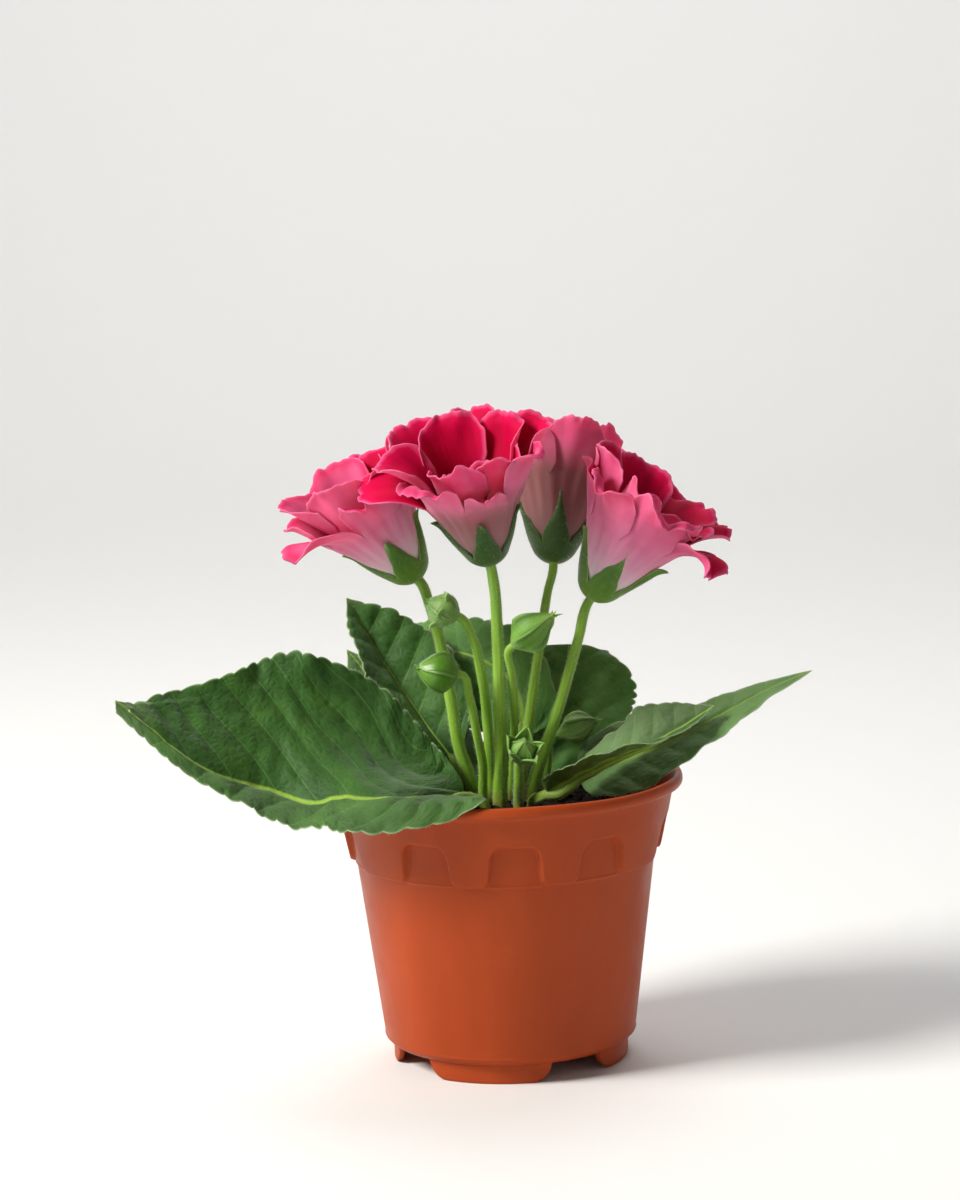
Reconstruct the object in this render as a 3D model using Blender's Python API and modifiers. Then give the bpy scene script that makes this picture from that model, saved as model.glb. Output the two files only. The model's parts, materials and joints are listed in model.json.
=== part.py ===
"""Potted gloxinia: a double-flowered plant in a 12 cm nursery pot.

Lengths below are in millimetres, from the pot's axis and the floor; MM turns them into metres.
"""

import math

import bmesh
import bpy
import numpy as np
from mathutils import Matrix, Vector

MM = 0.001
NAME = "potted_gloxinia"
GAP = 0.3

# Pot
POT_HEIGHT = 96.4
RIM_RADIUS = 60.0
BASE_RADIUS = 41.2
BASE_HEIGHT = 6.5
WALL = 1.3
BAND_LOW = 68.6
WINDOW_TOP = 82.5
WINDOW_HALF = 9.4
WINDOW_CORNER = 2.2
WINDOW_AZIMUTHS = [3.0 + a for a in (0, 33, 78, 112.5, 147, 180, -147, -112.5, -78, -33)]
POT_STEPS = 40
FOOT_RADIUS = 39.7
FOOT_THICKNESS = 2.0
FOOT_AZIMUTHS = (-12.0, 78.0, 168.0, 258.0)
FOOT_HALF_TOP = 32.0
FOOT_HALF_LOW = 23.0
DRAIN_RADIUS = 4.0
DRAIN_CIRCLE = 27.0
DRAIN_COUNT = 8

# Soil
SOIL_TOP = 86.3
STEM_FOOT = 79.0

# Plant
LEAF_THICKNESS = 0.8
PETIOLE_RADIUS = 2.1
PETAL_THICKNESS = 0.7
REST_RADIUS = 60.9
REST_HEIGHT = 98.6
HANG = 7.6
SEPAL_THICKNESS = 0.8


def body_radius(z):
    """Outer radius of the pot's plain wall at height z."""
    return 41.15 + 0.1295 * z


# Scene and materials

def clear_scene():
    for item in list(bpy.data.objects):
        bpy.data.objects.remove(item, do_unlink=True)


def new_collection(name, hidden=False):
    collection = bpy.data.collections.new(name)
    bpy.context.scene.collection.children.link(collection)
    collection.hide_render = hidden
    return collection


def material(name, color, roughness):
    made = bpy.data.materials.new(name)
    made.use_nodes = True
    shader = made.node_tree.nodes["Principled BSDF"]
    shader.inputs["Base Color"].default_value = (*color, 1.0)
    shader.inputs["Roughness"].default_value = roughness
    return made


def mesh_object(name, verts, faces, made, collection, smooth=True):
    """A mesh from points in millimetres and faces of point numbers."""
    mesh = bpy.data.meshes.new(name)
    mesh.from_pydata([tuple(MM * float(c) for c in v) for v in verts], [], faces)
    mesh.update()
    thing = bpy.data.objects.new(name, mesh)
    collection.objects.link(thing)
    if made is not None:
        mesh.materials.append(made)
    bm = bmesh.new()
    bm.from_mesh(mesh)
    bmesh.ops.recalc_face_normals(bm, faces=bm.faces)
    bm.to_mesh(mesh)
    bm.free()
    for polygon in mesh.polygons:
        polygon.use_smooth = smooth
    return thing


def make_cutter(thing):
    thing.hide_render = True
    thing.display_type = "WIRE"
    return thing


def apply_modifiers(thing):
    """Replace an object's mesh with its evaluated one."""
    bpy.context.view_layer.update()
    graph = bpy.context.evaluated_depsgraph_get()
    mesh = bpy.data.meshes.new_from_object(thing.evaluated_get(graph))
    thing.modifiers.clear()
    thing.data = mesh


def fuse(thing, pieces, solver="EXACT"):
    """Join closed pieces into one solid, and remove them."""
    group = new_collection(thing.name + "_pieces")
    for piece in pieces:
        for owner in list(piece.users_collection):
            owner.objects.unlink(piece)
        group.objects.link(piece)
    modifier = thing.modifiers.new("Fuse", "BOOLEAN")
    modifier.operation = "UNION"
    modifier.operand_type = "COLLECTION"
    modifier.collection = group
    modifier.solver = solver
    apply_modifiers(thing)
    for piece in list(group.objects):
        bpy.data.objects.remove(piece, do_unlink=True)
    bpy.data.collections.remove(group)


# Paths and lofts

def unit(v):
    v = np.asarray(v, float)
    return v / np.maximum(np.linalg.norm(v, axis=-1, keepdims=True), 1e-9)


def smooth_path(points, count):
    """Points evenly spaced along a smooth curve through the given ones."""
    p = np.array(points, float)
    h = np.linalg.norm(np.diff(p, axis=0), axis=1)[:, None]
    slope = np.diff(p, axis=0) / h
    inner = (slope[:-1] * h[1:] + slope[1:] * h[:-1]) / (h[:-1] + h[1:])
    m = np.vstack([slope[:1], inner, slope[-1:]])
    t = np.linspace(0, 1, 24, endpoint=False)[:, None]
    fine = []
    for i in range(len(p) - 1):
        fine.append((1 + 2 * t) * (1 - t) ** 2 * p[i] + t * (1 - t) ** 2 * m[i] * h[i]
                    + t * t * (3 - 2 * t) * p[i + 1] + t * t * (t - 1) * m[i + 1] * h[i])
    fine = np.vstack(fine + [p[-1:]])
    run = np.concatenate([[0], np.cumsum(np.linalg.norm(np.diff(fine, axis=0), axis=1))])
    at = np.linspace(0, run[-1], count)
    return np.stack([np.interp(at, run, fine[:, k]) for k in range(3)], 1)


def rooted(points):
    """A stem's points, with a straight upright foot in the soil before them; the first has no height."""
    x, y = points[0]
    return [(x, y, STEM_FOOT), (x, y, STEM_FOOT + 4.5), (x, y, SOIL_TOP + 1.7)] + list(points[1:])


def turned_frames(path, first):
    """Tangents and two cross directions carried along a path without twisting."""
    tangent = unit(np.gradient(path, axis=0))
    side = [unit(np.array(first) - tangent[0] * np.dot(first, tangent[0]))]
    for i in range(1, len(path)):
        v = side[-1] - tangent[i] * np.dot(side[-1], tangent[i])
        side.append(unit(v))
    side = np.array(side)
    return tangent, side, np.cross(tangent, side)


def loft(rings, ends=True):
    """Triangles joining closed rings of points; each end is closed with a fan to its middle."""
    k = len(rings[0])
    verts = [p for ring in rings for p in ring]
    faces = []
    for i in range(len(rings) - 1):
        for j in range(k):
            a, b = i * k + j, i * k + (j + 1) % k
            faces += [(a, b, b + k), (a, b + k, a + k)]
    if ends:
        for i, turn in ((0, -1), (len(rings) - 1, 1)):
            verts.append(np.mean(rings[i], axis=0))
            m = len(verts) - 1
            for j in range(k):
                a, b = i * k + j, i * k + (j + 1) % k
                faces.append((a, b, m)[::turn])
    return verts, faces


def tube(path, radii, sides):
    """A closed round stem along a path."""
    tangent, side, other = turned_frames(path, (1.0, 0.2, 0.0))
    turn = np.arange(sides) * 2 * math.pi / sides
    rings = []
    for p, a, b, r in zip(path, side, other, radii):
        rings.append([p + r * (math.cos(t) * a + math.sin(t) * b) for t in turn])
    return loft(rings)


# Pot

def pot_profile():
    """Radius and height points around the pot's wall, from the middle of its underside."""
    r = body_radius
    outer = [(20.0, BASE_HEIGHT), (BASE_RADIUS - 1.0, BASE_HEIGHT), (BASE_RADIUS, BASE_HEIGHT + 0.4),
             (r(9), 9.0), (r(BAND_LOW), BAND_LOW - 0.4), (r(BAND_LOW) + 2.0, BAND_LOW),
             (56.9, 92.0), (59.2, 92.3), (RIM_RADIUS, 93.4), (RIM_RADIUS, 95.2),
             (59.0, POT_HEIGHT), (57.7, 96.0)]
    inner = [(55.7, 92.2), (54.1, 85.2), (50.5, 84.0), (r(66) - WALL, 66.0),
             (r(9) - WALL, 9.2), (r(9) - WALL - 0.9, BASE_HEIGHT + 1.6), (20.0, BASE_HEIGHT + 1.6)]
    return outer + inner


def wedge(name, stations, inner, outer, azimuth, collection):
    """A block around the pot's axis, from stations of turn in degrees, lower and upper height."""
    rings = []
    for turn, low, high in stations:
        a = math.radians(azimuth + turn)
        corners = ((inner(low), low), (outer(low), low), (outer(high), high), (inner(high), high))
        rings.append([(r * math.sin(a), -r * math.cos(a), z) for r, z in corners])
    verts, faces = loft(rings)
    return mesh_object(name, verts, faces, None, collection, smooth=False)


def make_pot(parts, cutters, plastic):
    turn = np.arange(POT_STEPS) * 2 * math.pi / POT_STEPS
    rings = [[(r * math.sin(a), -r * math.cos(a), z) for a in turn] for r, z in pot_profile()]
    verts, faces = loft(rings)
    pot = mesh_object("pot", verts, faces, plastic, parts)

    feet = []
    for number, azimuth in enumerate(FOOT_AZIMUTHS):
        stations = [(-FOOT_HALF_TOP, BASE_HEIGHT - 0.1, BASE_HEIGHT + 0.9)]
        stations += [(k * FOOT_HALF_LOW / 3, 0.0, BASE_HEIGHT + 0.9) for k in range(-3, 4)]
        stations += [(FOOT_HALF_TOP, BASE_HEIGHT - 0.1, BASE_HEIGHT + 0.9)]
        feet.append(wedge(f"foot_{number}", stations, lambda z: FOOT_RADIUS - FOOT_THICKNESS,
                          lambda z: FOOT_RADIUS, azimuth, parts))
    fuse(pot, feet)

    group = bpy.data.collections.new("pot_cutters")
    cutters.children.link(group)
    for number, azimuth in enumerate(WINDOW_AZIMUTHS):
        flat = WINDOW_HALF - WINDOW_CORNER
        stations = [(-WINDOW_HALF, 67.0, WINDOW_TOP - 2.1)]
        stations += [(k * flat, 67.0, WINDOW_TOP) for k in (-1, 0, 1)]
        stations += [(WINDOW_HALF, 67.0, WINDOW_TOP - 2.1)]
        make_cutter(wedge(f"window_{number}", stations, lambda z: body_radius(z) + 0.45,
                          lambda z: 64.0, azimuth, group))
    for number in range(DRAIN_COUNT):
        a = 2 * math.pi * (number + 0.5) / DRAIN_COUNT
        x, y = DRAIN_CIRCLE * math.cos(a), DRAIN_CIRCLE * math.sin(a)
        verts, faces = tube(np.array([(x, y, 5.0), (x, y, 9.6)]), (DRAIN_RADIUS, DRAIN_RADIUS), 7)
        make_cutter(mesh_object(f"drain_{number}", verts, faces, None, group, smooth=False))
    cut = pot.modifiers.new("Windows", "BOOLEAN")
    cut.operation = "DIFFERENCE"
    cut.operand_type = "COLLECTION"
    cut.collection = group
    cut.solver = "EXACT"
    return pot


# Soil

def soil_height(x, y):
    """Height of the soil's uneven top."""
    bumps = 0.5 * math.sin(0.21 * x + 1.0) * math.cos(0.17 * y) + 0.3 * math.sin(0.37 * y + 0.29 * x)
    fade = max(0.0, 1 - (math.hypot(x, y) / 52) ** 4)
    return SOIL_TOP + (bumps + 0.3 * math.exp(-(x * x + y * y) / 500)) * fade


def make_soil(parts, cutters, earth, stems):
    sides = 28
    r = body_radius
    wall = [(r(9) - WALL - 1.3, 8.1 + GAP), (r(9) - WALL - 0.5, 9.5), (r(66) - WALL - 0.5, 66.0),
            (50.0, 84.4), (53.5, 85.5), (53.7, SOIL_TOP)]
    turn = np.arange(sides) * 2 * math.pi / sides
    rings = [[(rr * math.cos(t), rr * math.sin(t), z) for t in turn] for rr, z in wall]
    for rr in (44.0, 33.0, 22.0, 11.0):
        ring = []
        for t in turn:
            x, y = rr * math.cos(t), rr * math.sin(t)
            ring.append((x, y, soil_height(x, y)))
        rings.append(ring)
    verts, faces = loft(rings)
    soil = mesh_object("soil", verts, faces, earth, parts)
    group = bpy.data.collections.new("soil_cutters")
    cutters.children.link(group)
    for number, (x, y, radius) in enumerate(stems):
        line = np.array([(x, y, STEM_FOOT - GAP), (x, y, SOIL_TOP + 5)])
        verts, faces = tube(line, [(radius + 0.45) * 1.16] * 2, 6)
        make_cutter(mesh_object(f"stem_hole_{number}", verts, faces, None, group, smooth=False))
    cut = soil.modifiers.new("Stem holes", "BOOLEAN")
    cut.operation = "DIFFERENCE"
    cut.operand_type = "COLLECTION"
    cut.collection = group
    cut.solver = "EXACT"
    return soil


# Leaves

def along(values, s):
    """A smooth value along the leaf from a few evenly spaced ones."""
    values = np.asarray(values, float)
    return np.interp(s, np.linspace(0, 1, len(values)), values)


def half_width(s, base, belly, fall, rise):
    """Outline of half a blade: rounded at the base, widest at the belly, pointed at the tip."""
    s = np.asarray(s, float)
    low = base + (1 - base) * np.sin(0.5 * math.pi * np.clip(s / belly, 0, 1)) ** rise
    high = 1 - np.clip((s - belly) / (1 - belly), 0, 1) ** fall
    return np.where(s < belly, low, high)


LEAVES = {
    # The big leaf over the left of the rim, its far half lifted and its near half hanging over
    "leaf_1": dict(
        spine=[(-6.5, -11), (-8.5, -11, 89.4), (-13.5, -11, 90.8), (-26, -9.5, 92.8), (-40, -7.5, 95.4),
               (-55, -5, 98.5), (-70, -6, 100.6), (-83, -9, 103.6), (-95, -14, 108.6),
               (-106, -20, 115.5), (-112, -24, 120.5), (-118, -28, 125)],
        tip=11.0, start=0.12, up=[(0, 0, 1), (0.25, -0.30, 1)], right=38.5, left=56.0,
        right_angle=(38, 64, 70, 62, 24), left_angle=(3, 1, -9, -8, -4), right_curl=(10, 0),
        left_curl=(0, 0), base=(0.22, 0.88), belly=(0.50, 0.16), fall=(1.5, 1.35), rise=(1.25, 0.8),
        teeth=17, wave=5.0, columns=4, rests=True),
    # The upright leaf behind it
    "leaf_2": dict(
        spine=[(-11, 9), (-12.4, 9.6, 91), (-17, 13, 99), (-23.5, 19, 107), (-31, 26, 117.5),
               (-39, 32, 129), (-45.5, 36, 140), (-50.5, 38, 149)],
        start=0.26, up=[(-0.3, -1, 0.6), (0.5, -1, 0.3)], right=20.0, left=15.0,
        right_angle=(10, 14, 14, 12, 8), left_angle=(28, 42, 48, 40, 20), right_curl=(-10, -10),
        left_curl=(0, 0), base=(0.4, 0.4), belly=(0.50, 0.42), teeth=14, wave=5.0, columns=2),
    # The lighter leaf low behind both
    "leaf_3": dict(
        spine=[(-13.5, 14.5), (-15.4, 16, 91), (-21, 22, 98), (-29, 30, 105), (-37, 38, 114),
               (-45, 43, 122.5), (-51, 46, 130)],
        start=0.25, up=[(0, -0.5, 1), (0, -0.6, 1)], right=13.5, left=16.0,
        right_angle=(15, 15, 12, 10, 6), left_angle=(15, 15, 12, 10, 6), right_curl=(-15, -10),
        left_curl=(-15, -10), base=(0.4, 0.4), belly=(0.42, 0.42), teeth=11, wave=4.0, columns=2),
    # The back leaf, seen between the middle stalks
    "leaf_4": dict(
        spine=[(3, 15), (4.6, 15.6, 95), (6.6, 17.5, 108), (6, 21, 119), (1, 26, 126), (-8, 32, 130.5),
               (-20, 40, 133), (-33, 48, 134.5), (-40, 52, 134)],
        start=0.52, up=[(0.2, -1, 0.3), (0, -0.75, 1)], right=14.0, left=22.0,
        right_angle=(14, 14, 12, 10, 8), left_angle=(-20, -34, -30, -20, -10), right_curl=(-15, -10),
        left_curl=(0, 0), base=(0.4, 0.7), belly=(0.45, 0.22), fall=(1.9, 1.1), teeth=12, wave=4.0,
        columns=2),
    # The broad dark leaf at the back right
    "leaf_5": dict(
        spine=[(11, 15), (12.4, 17, 91), (15, 21.5, 98), (18, 26, 106), (21, 32.5, 116),
               (23, 38, 125), (24, 42, 132)],
        start=0.20, up=[(-0.15, -1, 0.45), (-0.1, -1, 0.8)], right=24.5, left=26.0,
        right_angle=(12, 12, 10, 8, 6), left_angle=(0, 0, 0, 0, 0), right_curl=(-16, -10),
        left_curl=(-16, -10), base=(0.5, 0.5), belly=(0.48, 0.48), teeth=15, wave=4.0, columns=2),
    # The long pointed leaf over the right of the rim
    "leaf_6": dict(
        spine=[(16, 2), (17.6, 2, 90), (22, 1.6, 92.6), (30, 0.6, 96), (42, -1, 100.4), (53, -3, 104.6),
               (67, -5, 112), (79, -6.5, 118.6), (89, -7.5, 123.8), (100.5, -8.5, 128.6)],
        start=0.20, up=[(0, -0.55, 1), (-0.3, -0.8, 1)], right=17.0, left=14.5,
        right_angle=(-4, 2, 8, 10, 6), left_angle=(22, 20, 14, 8, 6), right_curl=(0, 0),
        left_curl=(-10, -6), base=(0.6, 0.6), belly=(0.24, 0.20), fall=(1.1, 0.95), teeth=14, wave=3.0,
        columns=2),
    # The leaf at the front right, its near half folded up and its far half lifted
    "leaf_7": dict(
        spine=[(9.5, -11), (9.9, -12.4, 89.4), (12, -15.5, 90.8), (15.2, -18.5, 92.8),
               (19, -20.5, 95.4), (25, -21.5, 99.4), (33, -21.5, 103.4), (44, -20, 107.4),
               (56, -16.5, 111.6), (68, -12.5, 118)],
        start=0.25, up=[(-0.35, 0.05, 1), (0.1, -0.25, 1)], right=14.0, left=16.5,
        right_angle=(52, 44, 14, 2, 0), left_angle=(4, 8, 36, 58, 30), right_curl=(0, 0),
        left_curl=(0, 0), base=(0.6, 0.5), belly=(0.30, 0.60), teeth=13, wave=3.0, columns=2),
}


def hang_over_rim(grid, down, blade, toward, width):
    """Lay the near half of a blade on the pot's rim, and let the rest of it hang outside."""
    for i, p in enumerate(blade):
        d = unit(np.array((toward[i, 0], toward[i, 1], 0.0)))
        ahead = float(np.dot(p[:2], d[:2]))
        square = ahead ** 2 - float(np.dot(p[:2], p[:2])) + REST_RADIUS ** 2
        if square <= 0 or math.hypot(p[0], p[1]) > REST_RADIUS - 1.5:
            continue
        run = math.sqrt(square) - ahead
        crease = p + d * run
        crease[2] = REST_HEIGHT
        if width[i] < run - 3:
            shares = (0.3, 0.6, 0.85, 1.0)
            for c, share in enumerate(shares):
                grid[-1 - c][i] = p + (crease - p) * share * width[i] / run
            continue
        if width[i] < run + 4:
            for c, share in enumerate((0.5, 0.9, 0.95, 1.0)):
                grid[-1 - c][i] = p + (crease - p) * share
            continue
        left = width[i] - run
        drop = min(0.85 * left, HANG)
        outside = d * math.sqrt(left ** 2 - drop ** 2) - np.array((0, 0, drop))
        grid[-1][i] = p + (crease - p) * 0.5
        grid[-2][i] = crease
        grid[-3][i] = crease + 0.5 * outside
        grid[-4][i] = crease + outside
        inner, outer = np.cross(crease - p, tangent_of(blade, i)), np.cross(outside, tangent_of(blade, i))
        inner, outer = unit(inner * -np.sign(inner[2])), unit(outer * -np.sign(outer[2]))
        down[-1][i], down[-2][i] = inner, unit(inner + outer)
        down[-3][i] = down[-4][i] = outer


def tangent_of(blade, i):
    return blade[min(i + 1, len(blade) - 1)] - blade[max(i - 1, 0)]


def leaf_points(leaf):
    """Rows of top points, their downward directions, and the petiole's path and frames."""
    fine = smooth_path(rooted(leaf["spine"]), 241)
    cut = int(round(240 * leaf["start"]))
    rows = leaf["teeth"] + 1
    spots = fine[cut::8]
    if (240 - cut) % 8:
        spots = np.vstack([spots, fine[-1:]])
    blade = smooth_path(spots, rows)
    s = np.linspace(0, 1, rows)
    tangent = unit(np.gradient(blade, axis=0))
    hint = np.stack([np.interp(s, [0, 1], [leaf["up"][0][k], leaf["up"][1][k]]) for k in range(3)], 1)
    normal = unit(hint - tangent * np.sum(hint * tangent, 1, keepdims=True))
    side = np.cross(tangent, normal)
    columns = leaf["columns"]
    us = (0.0, 0.5, 1.0) if columns == 2 else (0.0, 0.3, 0.6, 0.85, 1.0)
    grid, down = {}, {}
    for sign, key in ((1, "right"), (-1, "left")):
        i = 0 if key == "right" else 1
        fall, rise = leaf.get("fall", (1.9, 1.9))[i], leaf.get("rise", (0.8, 0.8))[i]
        width = leaf[key] * half_width(s * 0.96, leaf["base"][i], leaf["belly"][i], fall, rise)
        slope = np.radians(along(leaf[key + "_angle"], s))
        curl = np.radians(along(leaf[key + "_curl"], s))
        wave = math.radians(leaf["wave"]) * np.sin(2 * math.pi * 2.6 * s + (0.4 if sign > 0 else 2.2))
        fine_u = np.linspace(0, 1, 41)
        angle = slope[:, None] + curl[:, None] * fine_u ** 4 + 2.2 * wave[:, None] * fine_u ** 2
        dx = np.cos(angle) * width[:, None] / 40
        dy = np.sin(angle) * width[:, None] / 40
        x = np.concatenate([np.zeros((rows, 1)), np.cumsum(dx[:, :-1], 1)], 1)
        y = np.concatenate([np.zeros((rows, 1)), np.cumsum(dy[:, :-1], 1)], 1)
        for c, u in enumerate(us):
            k = int(round(40 * u))
            grid[sign * c] = blade + side * (sign * x[:, k:k + 1]) + normal * y[:, k:k + 1]
            a = angle[:, k:k + 1]
            down[sign * c] = -(normal * np.cos(a) - side * sign * np.sin(a)) if c else -normal
        if sign < 0 and leaf.get("rests"):
            hang_over_rim(grid, down, blade, side * sign, width)
    return fine[:cut], s, blade, tangent, side, normal, grid, down, columns


def make_leaf(name, leaf, parts, green):
    """One closed blade with crenate edges, its midrib thick below, and its petiole."""
    stem, s, blade, tangent, side, normal, grid, down, columns = leaf_points(leaf)
    rows = len(s)
    order = list(range(-columns, columns + 1))
    keel = 0.9 * (1 - s) ** 1.3 + 0.1
    top = np.stack([grid[j] for j in order], 1)
    low = np.stack([grid[j] + down[j] * (LEAF_THICKNESS + (keel[:, None] if j == 0 else 0.0))
                    for j in order], 1)
    # Petiole rings carry the same number of points as a blade row's outline.
    count = 2 * len(order)
    turn = math.pi - (np.arange(count) + 0.5) * 2 * math.pi / count
    steps = max(4, int(round(len(stem) / 14)))
    picked = np.round(np.linspace(0, len(stem) - 6, steps)).astype(int)
    path = stem[picked]
    tangents = unit(np.gradient(stem, axis=0))[picked]
    rings = []
    radii = np.linspace(PETIOLE_RADIUS, PETIOLE_RADIUS * 0.8, steps)
    hint = np.array(leaf["up"][0], float)
    for p, t, r in zip(path, tangents, radii):
        n = hint - t * np.dot(hint, t)
        if np.linalg.norm(n) < 0.2:
            n = np.array(leaf["up"][0]) + np.array((0.0, -0.6, 0.0))
            n = n - t * np.dot(n, t)
        n = unit(n)
        b = np.cross(t, n)
        rings.append([p + r * (math.cos(a) * b + math.sin(a) * n) for a in turn])
    for i in range(rows):
        rings.append(list(top[i]) + list(low[i][::-1]))
    verts, faces = [p for ring in rings for p in ring], []
    # Crenate teeth stand out between the rows, at both edges.
    first = steps
    peaks = {}
    for i in range(rows - 1):
        for edge, column in ((-1, 0), (1, len(order) - 1)):
            depth = leaf.get("tooth", 1.5) * min(1.0, 0.35 + 3 * s[i])
            for layer, grid_layer in (("top", top), ("low", low)):
                a, b = grid_layer[i, column], grid_layer[i + 1, column]
                inner = grid_layer[i, column - edge] * 0.5 + grid_layer[i + 1, column - edge] * 0.5
                mid = 0.5 * (a + b)
                out = unit(mid - inner)
                verts.append(mid + out * depth + unit(b - a) * 0.12 * np.linalg.norm(b - a))
                peaks[i, edge, layer] = len(verts) - 1
    last = len(verts)
    tip = blade[-1] + tangent[-1] * leaf.get("tip", 3.0)
    verts += [tip, tip - normal[-1] * 0.7]
    k = count
    for i in range(len(rings) - 1):
        for j in range(k):
            a, b = i * k + j, i * k + (j + 1) % k
            c, d = b + k, a + k
            row = i - first
            if row >= 0 and j == len(order) - 1:
                pt, pl = peaks[row, 1, "top"], peaks[row, 1, "low"]
                faces += [(a, b, pl), (a, pl, pt), (pt, pl, c), (pt, c, d)]
            elif row >= 0 and j == k - 1:
                pt, pl = peaks[row, -1, "top"], peaks[row, -1, "low"]
                faces += [(a, b, pt), (a, pt, pl), (pl, pt, c), (pl, c, d)]
            elif row >= 0 and j in (0, len(order) - 2, len(order), k - 2):
                high = j < len(order)
                edge = -1 if j in (0, k - 2) else 1
                peak = peaks[row, edge, "top" if high else "low"]
                if j in (0, len(order)):
                    faces += [(a, b, peak), (b, c, peak), (peak, c, d)]
                else:
                    faces += [(b, peak, a), (peak, d, a), (peak, c, d)]
            else:
                swap = row >= 0 and j >= len(order)
                if swap:
                    faces += [(a, b, d), (b, c, d)]
                else:
                    faces += [(a, b, c), (a, c, d)]
    middle = np.mean(rings[0], axis=0)
    verts.append(middle)
    m = len(verts) - 1
    for j in range(k):
        faces.append(((j + 1) % k, j, m))
    end = (len(rings) - 1) * k
    half = len(order)
    for j in range(half - 1):
        faces.append((end + j, end + j + 1, last))
        faces.append((end + half + j, end + half + j + 1, last + 1))
    faces += [(end + half - 1, end + half, last + 1), (end + half - 1, last + 1, last)]
    faces += [(end + k - 1, end, last), (end + k - 1, last, last + 1)]
    mesh_object(name, verts, faces, green, parts)
    return leaf["spine"][0] + (PETIOLE_RADIUS,)


# Blooms and calyces

def whorl(lobes, columns, tube_line, tube_rows, lobe_rows, **shape):
    """A thin cup on the z axis that parts into lobes.

    tube_line is height and radius along the cup; each lobe is (length, end angle from the axis in
    degrees, turn in degrees). The points are the outer face; the lobes' bend grows evenly outward.
    """
    count = len(lobes)
    line = np.array(tube_line, float)
    run = np.concatenate([[0], np.cumsum(np.hypot(*np.diff(line, axis=0).T))])
    at = np.linspace(0, run[-1], tube_rows + 1)[1:]
    zs, rs = np.interp(at, run, line[:, 0]), np.interp(at, run, line[:, 1])
    start = math.atan2(line[-1, 1] - line[-2, 1], line[-1, 0] - line[-2, 0])
    verts, faces, ids = [(0, 0, line[0, 0])], [], {}
    around = count * columns
    for i in range(tube_rows):
        for j in range(around):
            a = 2 * math.pi * j / around
            verts.append((rs[i] * math.cos(a), rs[i] * math.sin(a), zs[i]))
            ids[i, j] = len(verts) - 1
    for j in range(around):
        faces.append((0, ids[0, j], ids[0, (j + 1) % around]))
    for i in range(tube_rows - 1):
        for j in range(around):
            a, b = ids[i, j], ids[i, (j + 1) % around]
            c, d = ids[i + 1, (j + 1) % around], ids[i + 1, j]
            faces += [(a, b, c), (a, c, d)]
    keep, rounding = shape.get("keep", 0.9), shape.get("rounding", 0.3)
    taper, ruffle = shape.get("taper", 0.78), shape.get("ruffle", 1.2)
    for n, (length, end, turn) in enumerate(lobes):
        end = math.radians(end)
        previous = [ids[tube_rows - 1, (n * columns + j) % around] for j in range(columns + 1)]
        for i in range(1, lobe_rows + 1):
            t = i / lobe_rows
            row = []
            for j in range(columns + 1):
                u = 2 * j / columns - 1
                tau = t * (1 - rounding * abs(u) ** 2.5)
                phi = start + (end - start) * tau * (np.arange(24) + 0.5) / 24
                r = rs[-1] + length * tau * np.mean(np.sin(phi))
                z = zs[-1] + length * tau * np.mean(np.cos(phi))
                share = keep + (taper - keep) * tau ** 2
                if shape.get("pointed"):
                    share = keep * (1 - tau ** 1.4) + 0.06
                share = 1 + (share - 1) * min(1.0, 2.5 * t)
                angle = math.pi / count * (2 * n + 1 + u * share) + math.radians(turn) * tau ** 2
                wave = ruffle * tau ** 2 * math.cos(2 * math.pi * u + 1.9 * n)
                bend = phi[-1]
                r, z = max(r + wave * math.cos(bend), 0.6), z - wave * math.sin(bend)
                verts.append((r * math.cos(angle), r * math.sin(angle), z))
                row.append(len(verts) - 1)
            for j in range(columns):
                a, b, c, d = previous[j], previous[j + 1], row[j + 1], row[j]
                faces += [(a, b, c), (a, c, d)] if j < columns / 2 else [(a, b, d), (b, c, d)]
            previous = row
    return verts, faces


def aim(base, axis, roll):
    """The placing of something built on the z axis: where it starts, which way it points, its turn."""
    z = Vector(axis).normalized()
    spin = Vector((0, 0, 1)).rotation_difference(z).to_matrix().to_4x4()
    return Matrix.Translation(Vector(base)) @ spin @ Matrix.Rotation(math.radians(roll), 4, "Z")


def placed(verts, matrix):
    return [tuple(matrix @ Vector(v)) for v in verts]


def thicken(thing, thickness, rim=0):
    solid = thing.modifiers.new("Thickness", "SOLIDIFY")
    solid.thickness = thickness * MM
    solid.offset = -1.0
    solid.use_even_offset = False
    solid.material_offset = rim
    solid.material_offset_rim = rim
    return solid


def outward(thing, center):
    """Turn a thin open cup's faces away from a point inside it."""
    mesh = thing.data
    total = sum((p.center - Vector(center) * MM).dot(p.normal) * p.area for p in mesh.polygons)
    if total < 0:
        mesh.flip_normals()


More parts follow.
